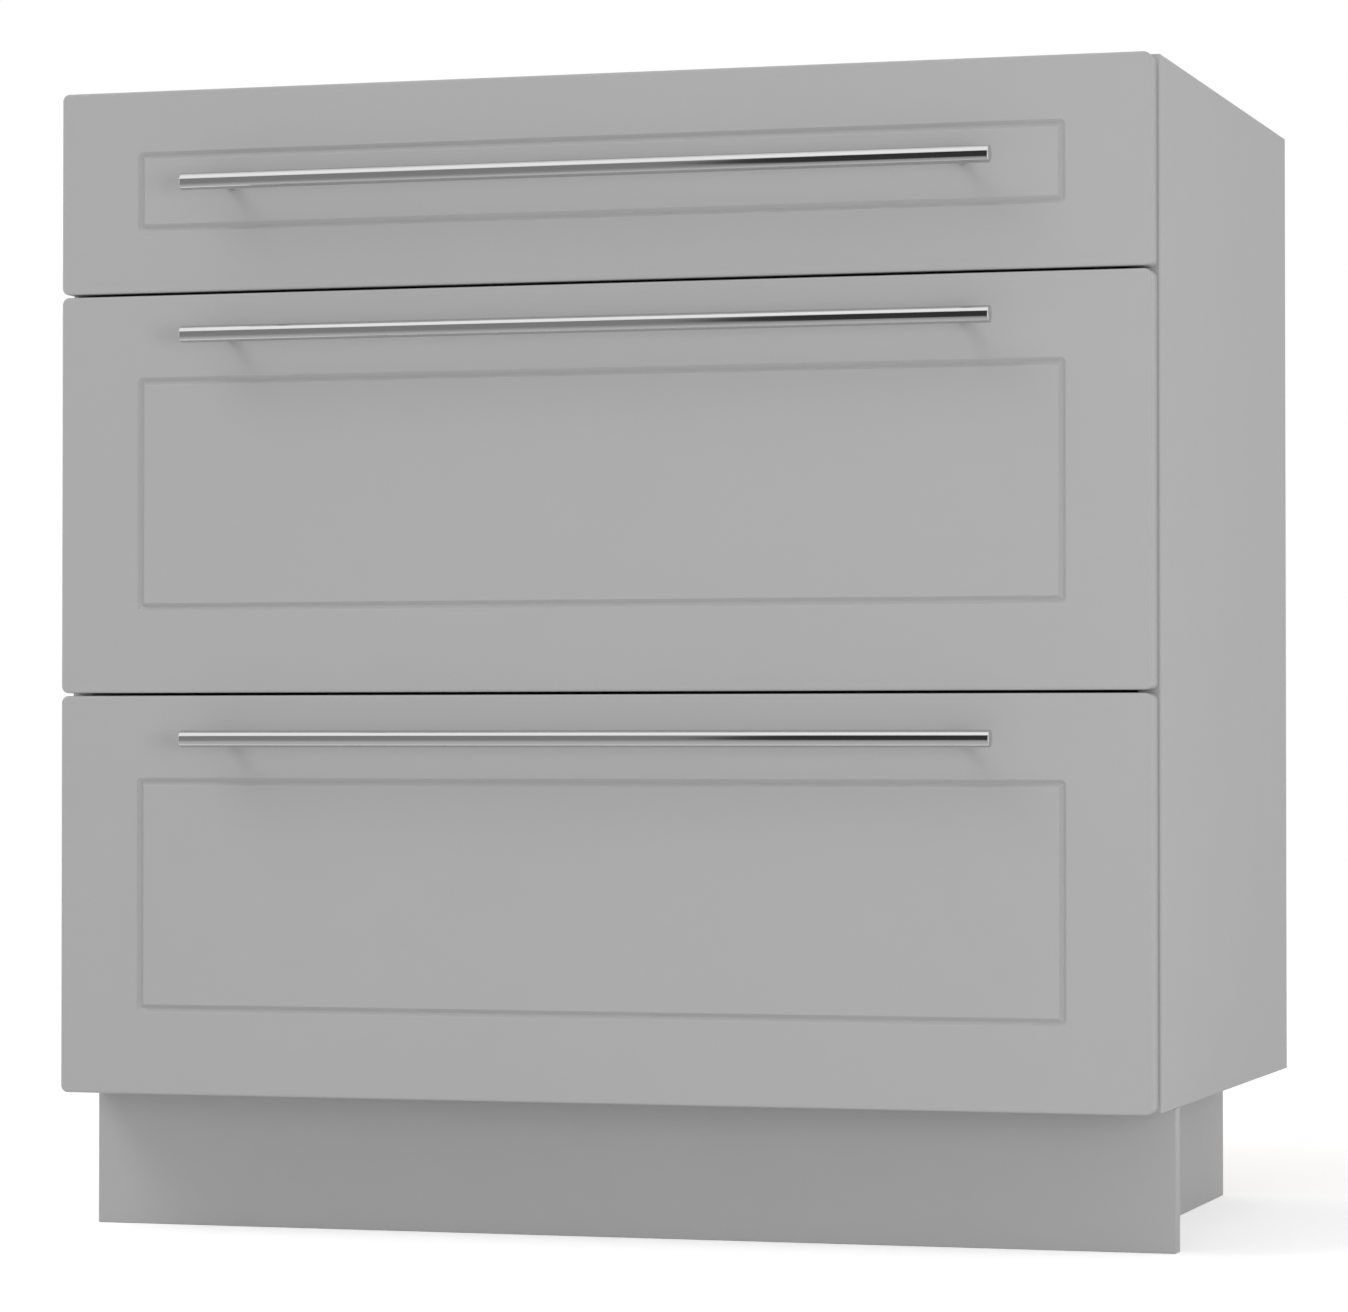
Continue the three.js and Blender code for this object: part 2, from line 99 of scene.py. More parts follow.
def flat_piece(name, corners, material):
    """A flat sheet of the studio, which isn't part of the cabinet."""
    mesh = bpy.data.meshes.new(name)
    mesh.from_pydata(corners, [], [(0, 1, 2, 3)])
    made = bpy.data.objects.new(name, mesh)
    scene.collection.objects.link(made)
    mesh.materials.append(material)
    return made


# placed where the edges of the cabinet fall as they do in the photograph
lens = bpy.data.cameras.new("camera")
lens.lens = 133.15
lens.sensor_width = 36
camera = bpy.data.objects.new("camera", lens)
camera.location = (1.0567, -3.5573, 0.3490)
camera.rotation_euler = (math.radians(91.034), 0, math.radians(16.71))
scene.collection.objects.link(camera)
scene.camera = camera

ROOM_LIGHT = 0.625  # how brightly the room lights the cabinet; the lens sees it as white
room = bpy.data.worlds.new("room")
scene.world = room
room.use_nodes = True
tree = room.node_tree
tree.nodes.clear()
shown = {"Value": seen_by_lens_or_mirror(tree), "To Min": ROOM_LIGHT, "To Max": 1.0}
level = add_node(tree, "ShaderNodeMapRange", shown)
sky = add_node(tree, "ShaderNodeBackground", {"Color": srgb("#FFFFFF"), "Strength": level})
add_node(tree, "ShaderNodeOutputWorld", {"Surface": sky})

# a plain, dull white, on which only the soft shadow of the cabinet shows; its glow, which lights
# nothing, brings it up to the white of the room
FLOOR_GLOW = 0.42
FLOOR = 30  # metres each way
floor_paint, tree = new_material("floor_paint")
matt = add_node(tree, "ShaderNodeBsdfDiffuse", {"Color": srgb("#F8F8F8")})
shown = {0: seen_by_lens_or_mirror(tree), 1: FLOOR_GLOW}
strength = add_node(tree, "ShaderNodeMath", shown, operation="MULTIPLY")
glow = add_node(tree, "ShaderNodeEmission", {"Strength": strength})
finish_material(tree, "ShaderNodeAddShader", {0: matt, 1: glow})
floor_corners = [(-FLOOR, -FLOOR, 0), (FLOOR, -FLOOR, 0), (FLOOR, FLOOR, 0), (-FLOOR, FLOOR, 0)]
flat_piece("floor", floor_corners, floor_paint)
CABINET_MIDDLE = Vector((0, 0, 0.4))


def soft_lamp(name, place, size, power):
    """A square soft lamp of a size in metres and a power in watts, aimed at the cabinet."""
    light = bpy.data.lights.new(name, "AREA")
    light.size = size
    light.energy = power
    lamp = bpy.data.objects.new(name, light)
    lamp.location = place
    aim = CABINET_MIDDLE - lamp.location
    lamp.rotation_euler = aim.to_track_quat("-Z", "Y").to_euler()
    lamp.visible_glossy = False
    scene.collection.objects.link(lamp)


soft_lamp("lamp_high_left", (-3.9, -4.0, 6.2), 3.6, 140)
soft_lamp("lamp_low_right", (1.9, -2.5, 0.47), 0.9, 18)


def reflection_card(name, corners, way, stops):
    """A card that only reflections see. Its brightness follows stops of (metres, level)."""
    material, tree = new_material(name)
    place = add_node(tree, "ShaderNodeTexCoord").outputs["Object"]
    along = add_node(tree, "ShaderNodeVectorMath", {0: place, 1: way}, operation="DOT_PRODUCT")
    low, high = stops[0][0], stops[-1][0]
    span = {"Value": along.outputs["Value"], "From Min": low, "From Max": high}
    share = add_node(tree, "ShaderNodeMapRange", span)
    ramp = add_node(tree, "ShaderNodeValToRGB", {"Fac": share})
    while len(ramp.color_ramp.elements) < len(stops):
        ramp.color_ramp.elements.new(0.5)
    for element, (where, brightness) in zip(ramp.color_ramp.elements, stops):
        element.position = (where - low) / (high - low)
        element.color = (brightness, brightness, brightness, 1)
    # light that a bar throws back on the front behind it is the room's, not the card's
    bounces = add_node(tree, "ShaderNodeLightPath").outputs["Diffuse Depth"]
    thrown = add_node(tree, "ShaderNodeMath", {0: bounces, 1: 0.5}, operation="GREATER_THAN")
    # a Mix node of colours blends its inputs 6 and 7 by input 0 into its output 2
    colours = {0: thrown, 6: ramp, 7: srgb("#FFFFFF")}
    shine = add_node(tree, "ShaderNodeMix", colours, data_type="RGBA")
    finish_material(tree, "ShaderNodeEmission", {"Color": shine.outputs[2]})
    card = flat_piece(name, corners, material)
    card.visible_camera = False
    card.visible_diffuse = False
    card.visible_shadow = False


LEFT, RIGHT = -2.6, 0.7  # as wide as the bars mirror it to the camera, and no wider
NEAR, FAR, RISE = -1.3, -3, 2.9
UP_TO_FRONTS, OVER_CABINET = -0.29, 0.4
ON_FLOOR = 2 * mm
BEYOND = 6  # a stop out here keeps its level as far as the card goes


def level_corners(start, end, z):
    """The corners of a level card that goes from one depth to another."""
    return [(LEFT, start, z), (RIGHT, start, z), (RIGHT, end, z), (LEFT, end, z)]


reflection_card(
    "card_upright",
    [(LEFT, FAR, 0), (RIGHT, FAR, 0), (RIGHT, FAR, RISE), (LEFT, FAR, RISE)],
    (1, 0, 0),
    [(-BEYOND, 0.31), (-0.62, 0.3), (-0.54, 0.2), (-0.46, 0.07), (-0.38, 0.045), (BEYOND, 0.04)],
)
reflection_card(
    "card_far_floor",
    level_corners(FAR, NEAR, ON_FLOOR),
    (0.969, -0.249, 0),
    [(-BEYOND, 0.32), (0.18, 0.31), (0.24, 0.21), (0.3, 0.08), (0.36, 0.05), (BEYOND, 0.045)],
)
reflection_card(
    "card_near_floor",
    level_corners(NEAR, UP_TO_FRONTS, ON_FLOOR),
    (0, 1, 0),
    [(NEAR, 0.33), (-1, 0.41), (-0.75, 0.5), (-0.55, 0.6), (-0.4, 0.66), (UP_TO_FRONTS, 0.62)],
)
reflection_card(
    "card_ceiling",
    level_corners(FAR, OVER_CABINET, RISE),
    (0, 1, 0),
    [(FAR, 1.15), (-2.4, 1.2), (-0.8, 1.25), (-0.2, 1.1), (0.1, 0.8), (OVER_CABINET, 0.7)],
)

# ---- carcass boards
# Chipboard with grey melamine pressed on both faces and 1 mm banding of the same grey on the
# front edges. The press plate leaves a fine pearl in the face. The rear ends are sawn and bare.
BAND = 1 * mm
SEAM = 0.12 * mm


def grain(tree, size, detail=2, stretch=(1, 1, 1)):
    """A cloudy pattern on the piece itself, whose blots are about as wide as size, in metres."""
    place = add_node(tree, "ShaderNodeTexCoord").outputs["Object"]
    place = add_node(tree, "ShaderNodeMapping", {"Vector": place, "Scale": stretch})
    return add_node(
        tree, "ShaderNodeTexNoise", {"Vector": place, "Scale": 1 / size, "Detail": detail}
    )


def cloudy(tree, size, darker, lighter, detail=2):
    """A colour that drifts between two, in clouds about as wide as size."""
    blend = {0: grain(tree, size, detail), 6: srgb(darker), 7: srgb(lighter)}
    return add_node(tree, "ShaderNodeMix", blend, data_type="RGBA").outputs[2]


def skin(tree, size, shiny, dull, depth=0, strength=0, detail=2, stretch=(1, 1, 1)):
    """The roughness of a grained skin, from shiny to dull, and where it has a depth its relief."""
    blots = grain(tree, size, detail, stretch)
    rough = add_node(tree, "ShaderNodeMapRange", {"Value": blots, "To Min": shiny, "To Max": dull})
    if not depth:
        return {"Roughness": rough}
    bump = {"Strength": strength, "Distance": depth, "Height": blots}
    return {"Roughness": rough, "Normal": add_node(tree, "ShaderNodeBump", bump)}


def melamine(name, darker, lighter, front=None, rear=None):
    """Melamine board. Front is where its banded edge lies along Y, and rear its sawn end."""
    material, tree = new_material(name)
    colour = cloudy(tree, 60 * mm, darker, lighter)
    if front is not None:
        place = add_node(tree, "ShaderNodeTexCoord").outputs["Object"]
        y = add_node(tree, "ShaderNodeSeparateXYZ", {"Vector": place}).outputs["Y"]
        at_seam = {0: y, 1: front + BAND, 2: SEAM}
        seam = add_node(tree, "ShaderNodeMath", at_seam, operation="COMPARE")
        blend = {0: seam, 6: colour, 7: srgb("#8E8E8E")}
        colour = add_node(tree, "ShaderNodeMix", blend, data_type="RGBA").outputs[2]
        at_end = {0: y, 1: rear - 0.1 * mm}  # just in front of it, so that the whole end is bare
        sawn = add_node(tree, "ShaderNodeMath", at_end, operation="GREATER_THAN")
        chips = cloudy(tree, 1.8 * mm, "#7E6144", "#D2B68A", detail=4)
        blend = {0: sawn, 6: colour, 7: chips}
        colour = add_node(tree, "ShaderNodeMix", blend, data_type="RGBA").outputs[2]
    # the pearl is drawn about twice as coarse as it is, so that it shows
    pearl = skin(tree, 0.9 * mm, 0.46, 0.6, depth=0.03 * mm, strength=0.25)
    finish_material(tree, "ShaderNodeBsdfPrincipled", {"Base Color": colour, **pearl})
    return material


def dress(material, *names):
    """Gives CAD nodes, which keep their shape, their material."""
    for name in names:
        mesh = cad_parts[name].data
        mesh.materials.clear()
        mesh.materials.append(material)


low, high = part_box("carcass_side_left")
inner_half, carcass_front, carcass_rear = -high[0], low[1], high[1]
# an even, dull mid grey whose pearl breaks up the highlights; a hairline of glue behind the band,
# and brown and straw chips on the sawn ends
grey_melamine = melamine("grey_melamine", "#AFAFAF", "#B2B2B2", carcass_front, carcass_rear)
dress(grey_melamine, "carcass_side_left", "carcass_side_right", "carcass_bottom")
dress(grey_melamine, "carcass_rail_front", "carcass_rail_rear")

# ---- connectors
# Each end of the bottom and of the two rails is pulled to the side by cams. A moulded cap covers
# the mouth of each cam, on the inner face of the board, so nothing shows from outside.


def stacked(rings):
    """A closed skin through rings of equally many points, with flat ends."""
    count = len(rings[0])
    points = [p for ring in rings for p in ring]
    faces = [list(range(count)), list(range(len(points) - 1, len(points) - count - 1, -1))]
    for k in range(len(rings) - 1):
        for i in range(count):
            j = (i + 1) % count
            faces.append([k * count + i, k * count + j, (k + 1) * count + j, (k + 1) * count + i])
    return points, faces


def cross_head(radius, height, slot_depth):
    """A round head with a cross in its top, standing on z = 0."""
    arm, half = 0.55 * radius, 0.17 * radius  # how far the cross reaches, and half its width
    middle = (arm + half) / 2
    quarter = [(arm, -half), (arm, 0), (arm, half), (middle, half), (half, half), (half, middle)]
    cross = list(quarter)
    for _ in range(3):
        quarter = [(-y, x) for x, y in quarter]
        cross += quarter
    profile = [(1, 0), (1, 0.35), (0.94, 0.7), (0.82, 0.9), (0.66, 1)]
    rings = []
    for share, z in profile:
        turns = [math.radians(15 * (i - 1)) for i in range(24)]  # as many as the cross's points
        r = share * radius
        rings.append([(r * math.cos(a), r * math.sin(a), z * height) for a in turns])
    rings.append([(x, y, height) for x, y in cross])
    rings.append([(0.8 * x, 0.8 * y, height - slot_depth) for x, y in cross])
    return stacked(rings)


def moved(form, by):
    """A form of (points, faces), shifted."""
    points, faces = form
    return [tuple(p + q for p, q in zip(point, by)) for point in points], faces


def facing(form, way):
    """A form that stands on z = 0, turned to stand up another way."""
    points, faces = form
    turn = Vector((0, 0, 1)).rotation_difference(Vector(way)).to_matrix()
    return [tuple(turn @ Vector(p)) for p in points], faces


def mirrored(form):
    """The same form for the other side of the cabinet."""
    points, faces = form
    return [(-x, y, z) for x, y, z in points], [list(reversed(f)) for f in faces]


def joined(forms):
    """Several forms as one."""
    points, faces = [], []
    for more_points, more_faces in forms:
        faces += [[i + len(points) for i in f] for f in more_faces]
        points += more_points
    return points, faces


def build(name, form, material, crease=35):
    """A mesh object of a form, smooth but for edges of more than crease degrees."""
    mesh = bpy.data.meshes.new(name)
    mesh.from_pydata(form[0], [], form[1])
    shell = bmesh.new()
    shell.from_mesh(mesh)
    bmesh.ops.remove_doubles(shell, verts=shell.verts, dist=0.001 * mm)
    bmesh.ops.recalc_face_normals(shell, faces=shell.faces)
    for face in shell.faces:
        face.smooth = True
    for edge in shell.edges:
        edge.smooth = edge.calc_face_angle(0) < math.radians(crease)
    shell.to_mesh(mesh)
    shell.free()
    mesh.materials.append(material)
    made = bpy.data.objects.new(name, mesh)
    scene.collection.objects.link(made)
    return made


def fit(piece, body, slot, *nodes):
    """The piece rides on a body and may stand for CAD nodes, which it hides. The slot is not used."""
    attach(piece, body)
    if nodes:
        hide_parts(*nodes)


def new_tree(name, **inputs):
    """A geometry tree with named inputs, and the sockets of those inputs."""
    tree = bpy.data.node_groups.new(name, "GeometryNodeTree")
    for label, kind in inputs.items():
        tree.interface.new_socket(label, in_out="INPUT", socket_type="NodeSocket" + kind)
    tree.interface.new_socket("Geometry", in_out="OUTPUT", socket_type="NodeSocketGeometry")
    return tree, add_node(tree, "NodeGroupInput").outputs


def end_tree(tree, geometry, material):
    """Makes instances real, gives them the material and ends the tree."""
    real = add_node(tree, "GeometryNodeRealizeInstances", {"Geometry": geometry})
    coat = add_node(tree, "GeometryNodeSetMaterial", {"Geometry": real, "Material": material})
    add_node(tree, "NodeGroupOutput", {0: coat})


def grow(name, tree, values, marks=()):
    """A plain mesh object of what a geometry tree makes from these values, at these marks."""
    mesh = bpy.data.meshes.new(name)
    mesh.from_pydata(marks, [], [])
    host = bpy.data.objects.new(name, mesh)
    scene.collection.objects.link(host)
    modifier = host.modifiers.new("grow", "NODES")
    modifier.node_group = tree
    for item in tree.interface.items_tree:
        if item.in_out == "INPUT" and item.name in values:
            modifier[item.identifier] = values[item.name]
    graph = bpy.context.evaluated_depsgraph_get()
    result = bpy.data.meshes.new_from_object(host.evaluated_get(graph), depsgraph=graph)
    host.modifiers.clear()
    host.data = result
    return host


# one piece at each mark of the host
marks_tree, marks_in = new_tree(
    "piece_at_each_mark", Marks="Geometry", Piece="Object", Material="Material"
)
one = add_node(marks_tree, "GeometryNodeObjectInfo", {"Object": marks_in["Piece"]})
copies = {"Points": marks_in["Marks"], "Instance": one.outputs["Geometry"]}
spread = add_node(marks_tree, "GeometryNodeInstanceOnPoints", copies)
end_tree(marks_tree, spread, marks_in["Material"])


def repeat(name, form, material, body, slot, marks=(), tree=marks_tree, **values):
    """Many of the same small piece, at marks or as a tree says, as one mesh on one body."""
    piece = build("piece", form, material)
    made = grow(name, tree, {**values, "Piece": piece, "Material": material}, marks)
    bpy.data.objects.remove(piece)
    fit(made, body, slot)


def moulded(name, darker, lighter, shiny, dull):
    """Injection-moulded plastic, through-coloured."""
    material, tree = new_material(name)
    colour = cloudy(tree, 8 * mm, darker, lighter)
    # the spark-eroded skin of the mould, drawn a little coarse so that it shows
    eroded = skin(tree, 0.7 * mm, shiny, dull, depth=0.03 * mm, strength=0.3)
    finish_material(tree, "ShaderNodeBsdfPrincipled", {"Base Color": colour, **eroded})
    return material


# close to the grey of the board, a touch cooler and softly shiny
grey_plastic = moulded("moulded_grey_plastic", "#A4A5A5", "#ABACAC", 0.38, 0.52)
CAP_FROM_SIDE, CAP_FROM_EDGE = 34 * mm, 50 * mm
cap = cross_head(8.5 * mm, 1.1 * mm, 0.7 * mm)
cap_x = inner_half - CAP_FROM_SIDE
low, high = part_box("carcass_bottom")
depths = (low[1] + CAP_FROM_EDGE, high[1] - CAP_FROM_EDGE)
cap_marks = [(x, y, high[2]) for x in (-cap_x, cap_x) for y in depths]
repeat("bottom_cam_caps", cap, grey_plastic, "carcass", "melamine", cap_marks)
for end in ("front", "rear"):
    low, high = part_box(f"carcass_rail_{end}")
    cap_marks = [(x, (low[1] + high[1]) / 2, low[2]) for x in (-cap_x, cap_x)]
    under = facing(cap, (0, 0, -1))
    repeat(f"{end}_rail_cam_caps", under, grey_plastic, "carcass", "melamine", cap_marks)

# ---- back panel
# Thin hardboard in the grooves of the boards, painted pale grey inside. Its rear face is bare:
# brown, with the fibres lying every way in it.
hardboard, tree = new_material("hardboard")
low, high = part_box("carcass_back")
place = add_node(tree, "ShaderNodeTexCoord").outputs["Object"]
y = add_node(tree, "ShaderNodeSeparateXYZ", {"Vector": place}).outputs["Y"]
past_middle = {0: y, 1: (low[1] + high[1]) / 2}
bare = add_node(tree, "ShaderNodeMath", past_middle, operation="GREATER_THAN")
FIBRES = 3 * mm
# inside a dull pale grey, behind a dark to light brown that looks felted
blend = {
    0: bare,
    6: cloudy(tree, FIBRES, "#BDBCB9", "#C6C5C3", detail=6),
    7: cloudy(tree, FIBRES, "#7A5B3E", "#A5815B", detail=6),
}
colour = add_node(tree, "ShaderNodeMix", blend, data_type="RGBA").outputs[2]
rough = add_node(tree, "ShaderNodeMapRange", {"Value": bare, "To Min": 0.55, "To Max": 0.8})
felt = {"Strength": 0.4, "Distance": 0.06 * mm, "Height": grain(tree, FIBRES, detail=6)}
relief = add_node(tree, "ShaderNodeBump", felt)
inputs = {"Base Color": colour, "Roughness": rough, "Normal": relief}
finish_material(tree, "ShaderNodeBsdfPrincipled", inputs)
dress(hardboard, "carcass_back")

# ---- legs
# Black polypropylene, injection moulded. A ribbed socket is screwed under the bottom board, and
# a foot on a coarse thread screws into it, turned by the grips on its rim.

# black, with a soft grey sheen where light grazes it
moulded_black = moulded("moulded_polypropylene", "#1B1B1C", "#222223", 0.42, 0.58)


def revolve(profile, steps, axis="Z"):
    """Turns a profile of (radius, height) round an axis. A radius of 0 makes one closed pole."""
    points, rings = [], []
    for radius, height in profile:
        count = 1 if radius == 0 else steps
        rings.append(range(len(points), len(points) + count))
        for i in range(count):
            a = 2 * math.pi * i / steps
            x, y = radius * math.cos(a), radius * math.sin(a)
            points.append({"X": (height, x, y), "Y": (y, height, x), "Z": (x, y, height)}[axis])
    faces = []
    for lower, upper in zip(rings, rings[1:]):
        for i in range(steps):
            j = (i + 1) % steps
            a, b = lower[i % len(lower)], lower[j % len(lower)]
            c, d = upper[j % len(upper)], upper[i % len(upper)]
            corners = list(dict.fromkeys((a, b, c, d)))
            if len(corners) > 2:
                faces.append(corners)
    return points, faces


def drawn(section, start, end):
    """A closed section of (x, z) drawn out along Y."""
    return stacked([[(x, y, z) for x, z in section] for y in (start, end)])


# ribs, grips and screws stand round an axis like the teeth of a star
star_tree, star_in = new_tree(
    "pieces_round_an_axis", Count="Int", Radius="Float", Turn="Float", Centre="Vector",
    Piece="Object", Material="Material",
)
circle = add_node(
    star_tree, "GeometryNodeMeshCircle", {"Vertices": star_in["Count"], "Radius": star_in["Radius"]}
)
outwards = add_node(
    star_tree,
    "FunctionNodeAlignRotationToVector",
    {"Vector": add_node(star_tree, "GeometryNodeInputPosition")},
    axis="X",
    pivot_axis="Z",
)
one = add_node(star_tree, "GeometryNodeObjectInfo", {"Object": star_in["Piece"]})
copies = {"Points": circle, "Instance": one.outputs["Geometry"], "Rotation": outwards}
star = add_node(star_tree, "GeometryNodeInstanceOnPoints", copies)
turn = add_node(star_tree, "ShaderNodeCombineXYZ", {"Z": star_in["Turn"]})
moves = {"Geometry": star, "Translation": star_in["Centre"], "Rotation": turn}
placed = add_node(star_tree, "GeometryNodeTransform", moves)
end_tree(star_tree, placed, star_in["Material"])

# a thread is a ridge wound round a stem
thread_tree, thread_in = new_tree(
    "thread_round_a_stem", Radius="Float", Length="Float", Turns="Float", Ridge="Float",
    Base="Vector", Material="Material",
)
winding = {"Resolution": 24, "Rotations": thread_in["Turns"], "Height": thread_in["Length"]}
winding |= {"Start Radius": thread_in["Radius"], "End Radius": thread_in["Radius"]}
helix = add_node(thread_tree, "GeometryNodeCurveSpiral", winding)
ridge = add_node(
    thread_tree, "GeometryNodeCurvePrimitiveCircle", {"Resolution": 4, "Radius": thread_in["Ridge"]}
)
sweep = {"Curve": helix, "Profile Curve": ridge, "Fill Caps": True}
wound = add_node(thread_tree, "GeometryNodeCurveToMesh", sweep)
placed = add_node(
    thread_tree, "GeometryNodeTransform", {"Geometry": wound, "Translation": thread_in["Base"]}
)
end_tree(thread_tree, placed, thread_in["Material"])


def zinc_plate(name, darker, lighter, shiny, dull):
    """Zinc on steel: metal with cloudy crystals a few millimetres across."""
    material, tree = new_material(name)
    crystals = 6 * mm
    colour = cloudy(tree, crystals, darker, lighter, detail=4)
    gloss = skin(tree, crystals, shiny, dull, detail=4)
    inputs = {"Base Color": colour, "Metallic": 1.0, **gloss}
    finish_material(tree, "ShaderNodeBsdfPrincipled", inputs)
    return material


# a bright metal, clear enough to sparkle on the small heads
screw_zinc = zinc_plate("bright_zinc_on_screws", "#B9BBBD", "#CBCDCE", 0.24, 0.34)
screw = cross_head(3.5 * mm, 2.2 * mm, 1.2 * mm)

# the socket: radii, and heights below its top
BORE, TUBE, FLANGE = 9.6 * mm, 15 * mm, 30 * mm
BORE_END, FLARE_START, FLARE, FLANGE_LOW = 8 * mm, 12 * mm, 4 * mm, 4 * mm
RIBS, RIB_WIDTH, RIB_REACH = 8, 1.6 * mm, 11 * mm
RIB_START, RIB_END = 29 * mm, 3 * mm
ROOT = 1 * mm  # how far ribs and grips are let into the part that they stand on
FLANGE_SCREWS, SCREW_CIRCLE = 4, 23.5 * mm
# the foot: its stem's radius, the grips on its rim, and the thread above the floor
STEM, GRIP, GRIPS, GRIP_WIDTH = 8.7 * mm, 0.7 * mm, 24, 1.8 * mm
THREAD_START, THREAD_LENGTH, THREAD_TURNS, THREAD_RIDGE = 24 * mm, 50 * mm, 16.0, 0.55 * mm
for end in ("front", "rear"):
    for side in ("left", "right"):
        socket_node, foot_node = f"leg_socket_{end}_{side}", f"leg_foot_{end}_{side}"
        low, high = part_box(socket_node)
        x, y = (low[0] + high[0]) / 2, (low[1] + high[1]) / 2
        base, top = low[2], high[2]
        socket = [(0, top - BORE_END), (BORE, top - BORE_END), (BORE, base + 1.2 * mm)]
        socket += [(BORE + 1 * mm, base), (TUBE - 0.8 * mm, base), (TUBE, base + 0.8 * mm)]
        for i in range(7):  # the tube flares into the flange
            a = math.radians(15 * i)
            rise = 2 * FLARE * math.sin(a)
            socket.append((TUBE + FLARE * (1 - math.cos(a)), top - FLARE_START + rise))
        socket += [(FLANGE - 1 * mm, top - FLANGE_LOW), (FLANGE, top - FLANGE_LOW + 1 * mm)]
        socket += [(FLANGE, top), (0, top)]
        socket = moved(revolve(socket, 64), (x, y, 0))
        made = build(socket_node + "_moulding", socket, moulded_black)
        fit(made, "carcass", "leg_plastic", socket_node)
        rib_low, rib_high = top - RIB_START, top - RIB_END
        rib = [(-ROOT, rib_low), (1 * mm, rib_low), (RIB_REACH, rib_high - 2 * mm)]
        rib += [(RIB_REACH, rib_high), (-ROOT, rib_high)]
        ribs = drawn(rib, -RIB_WIDTH / 2, RIB_WIDTH / 2)
        repeat(
            socket_node + "_ribs", ribs, moulded_black, "carcass", "leg_plastic", tree=star_tree,
            Count=RIBS, Radius=TUBE, Turn=math.pi / RIBS, Centre=(x, y, 0),
        )
        under, place = facing(screw, (0, 0, -1)), (x, y, top - FLANGE_LOW)
        repeat(
            socket_node + "_screws", under, screw_zinc, "carcass", "galvanised_steel", tree=star_tree,
            Count=FLANGE_SCREWS, Radius=SCREW_CIRCLE, Turn=0.0, Centre=place,
        )

        low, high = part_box(foot_node)
        disc = (high[0] - low[0]) / 2 - GRIP
        # up from the floor: the disc, a neck, and the stem
        foot = [(0, 0), (disc - 1.5 * mm, 0), (disc, 1.5 * mm), (disc, 5 * mm)]
        foot += [(disc - 1.2 * mm, 6.4 * mm), (disc - 3 * mm, 7 * mm), (15 * mm, 11 * mm)]
        foot += [(13 * mm, 13 * mm), (12.4 * mm, 19 * mm), (STEM, 22 * mm), (STEM, 76 * mm)]
        foot += [(STEM - 2 * mm, high[2]), (0, high[2])]
        foot = moved(revolve(foot, 64), (x, y, 0))
        made = build(foot_node + "_moulding", foot, moulded_black)
        fit(made, foot_node, "leg_plastic", foot_node)
        grip = [(0, 1.2 * mm), (GRIP, 1.8 * mm), (GRIP, 4.8 * mm), (0, 5.6 * mm)]
        grip += [(-ROOT, 5.6 * mm), (-ROOT, 1.2 * mm)]
        grips = drawn(grip, -GRIP_WIDTH / 2, GRIP_WIDTH / 2)
        repeat(
            foot_node + "_grips", grips, moulded_black, foot_node, "leg_plastic", tree=star_tree,
            Count=GRIPS, Radius=disc, Turn=0.0, Centre=(x, y, 0),
        )
        values = {"Radius": STEM, "Length": THREAD_LENGTH, "Turns": THREAD_TURNS}
        values |= {"Ridge": THREAD_RIDGE, "Base": (x, y, THREAD_START), "Material": moulded_black}
        fit(grow(foot_node + "_thread", thread_tree, values), foot_node, "leg_plastic")

# ---- plinth
# Boards like those of the carcass, which hide the legs. The long one is held on the front legs
# by two snap clips, and a moulded block in each corner joins it to the short ones.
dress(grey_melamine, "plinth_front", "plinth_left", "plinth_right")
dress(moulded_black, "plinth_clip_left", "plinth_clip_right")
BLOCK, BLOCK_LOW, BLOCK_HIGH, BLOCK_EASE = 18 * mm, 30 * mm, 58 * mm, 1.2 * mm
BLOCK_SCREWS = (38 * mm, 50 * mm)  # heights above the floor
SIDES = (("left", -1), ("right", 1))


def eased_block(low, high, ease):
    """A block with all its edges eased."""
    rings = []
    for inset, z in ((ease, low[2]), (0, low[2] + ease), (0, high[2] - ease), (ease, high[2])):
        x0, y0, x1, y1 = low[0] + inset, low[1] + inset, high[0] - inset, high[1] - inset
        corners = [(x1, y1, -1, -1), (x0, y1, 1, -1), (x0, y0, 1, 1), (x1, y0, -1, 1)]
        ring = []
        for i, (x, y, dx, dy) in enumerate(corners):
            cut = [(x, y + dy * ease, z), (x + dx * ease, y, z)]
            ring += cut if i % 2 == 0 else cut[::-1]
        rings.append(ring)
    return stacked(rings)


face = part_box("plinth_front")[1][1]
for side, sign in SIDES:
    low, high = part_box("plinth_" + side)
    inner = low[0] if side == "right" else high[0]
    x0, x1 = sorted((inner, inner - sign * BLOCK))
    block = eased_block((x0, face, BLOCK_LOW), (x1, face + BLOCK, BLOCK_HIGH), BLOCK_EASE)
    fit(build(f"plinth_block_{side}", block, moulded_black), "carcass", "leg_plastic")
    marks, head = [((x0 + x1) / 2, face + BLOCK, z) for z in BLOCK_SCREWS], facing(screw, (0, 1, 0))
    repeat(f"plinth_block_{side}_screws", head, screw_zinc, "carcass", "galvanised_steel", marks)

# ---- cabinet rails and floating rails
# Zinc-plated strip, roll formed. The cabinet rail is screwed to the side through its flange. The
# floating rail runs in it on nylon rollers, and carries the drawer rail the same way.

# duller and greyer than on the screws, with clouds of crystals along the strips
zinc = zinc_plate("zinc_plated_steel", "#A9ADB0", "#BDC0C2", 0.3, 0.42)
# a warm off-white with a slight shine
nylon = moulded("moulded_nylon", "#D8D6CF", "#E0DFD9", 0.34, 0.44)
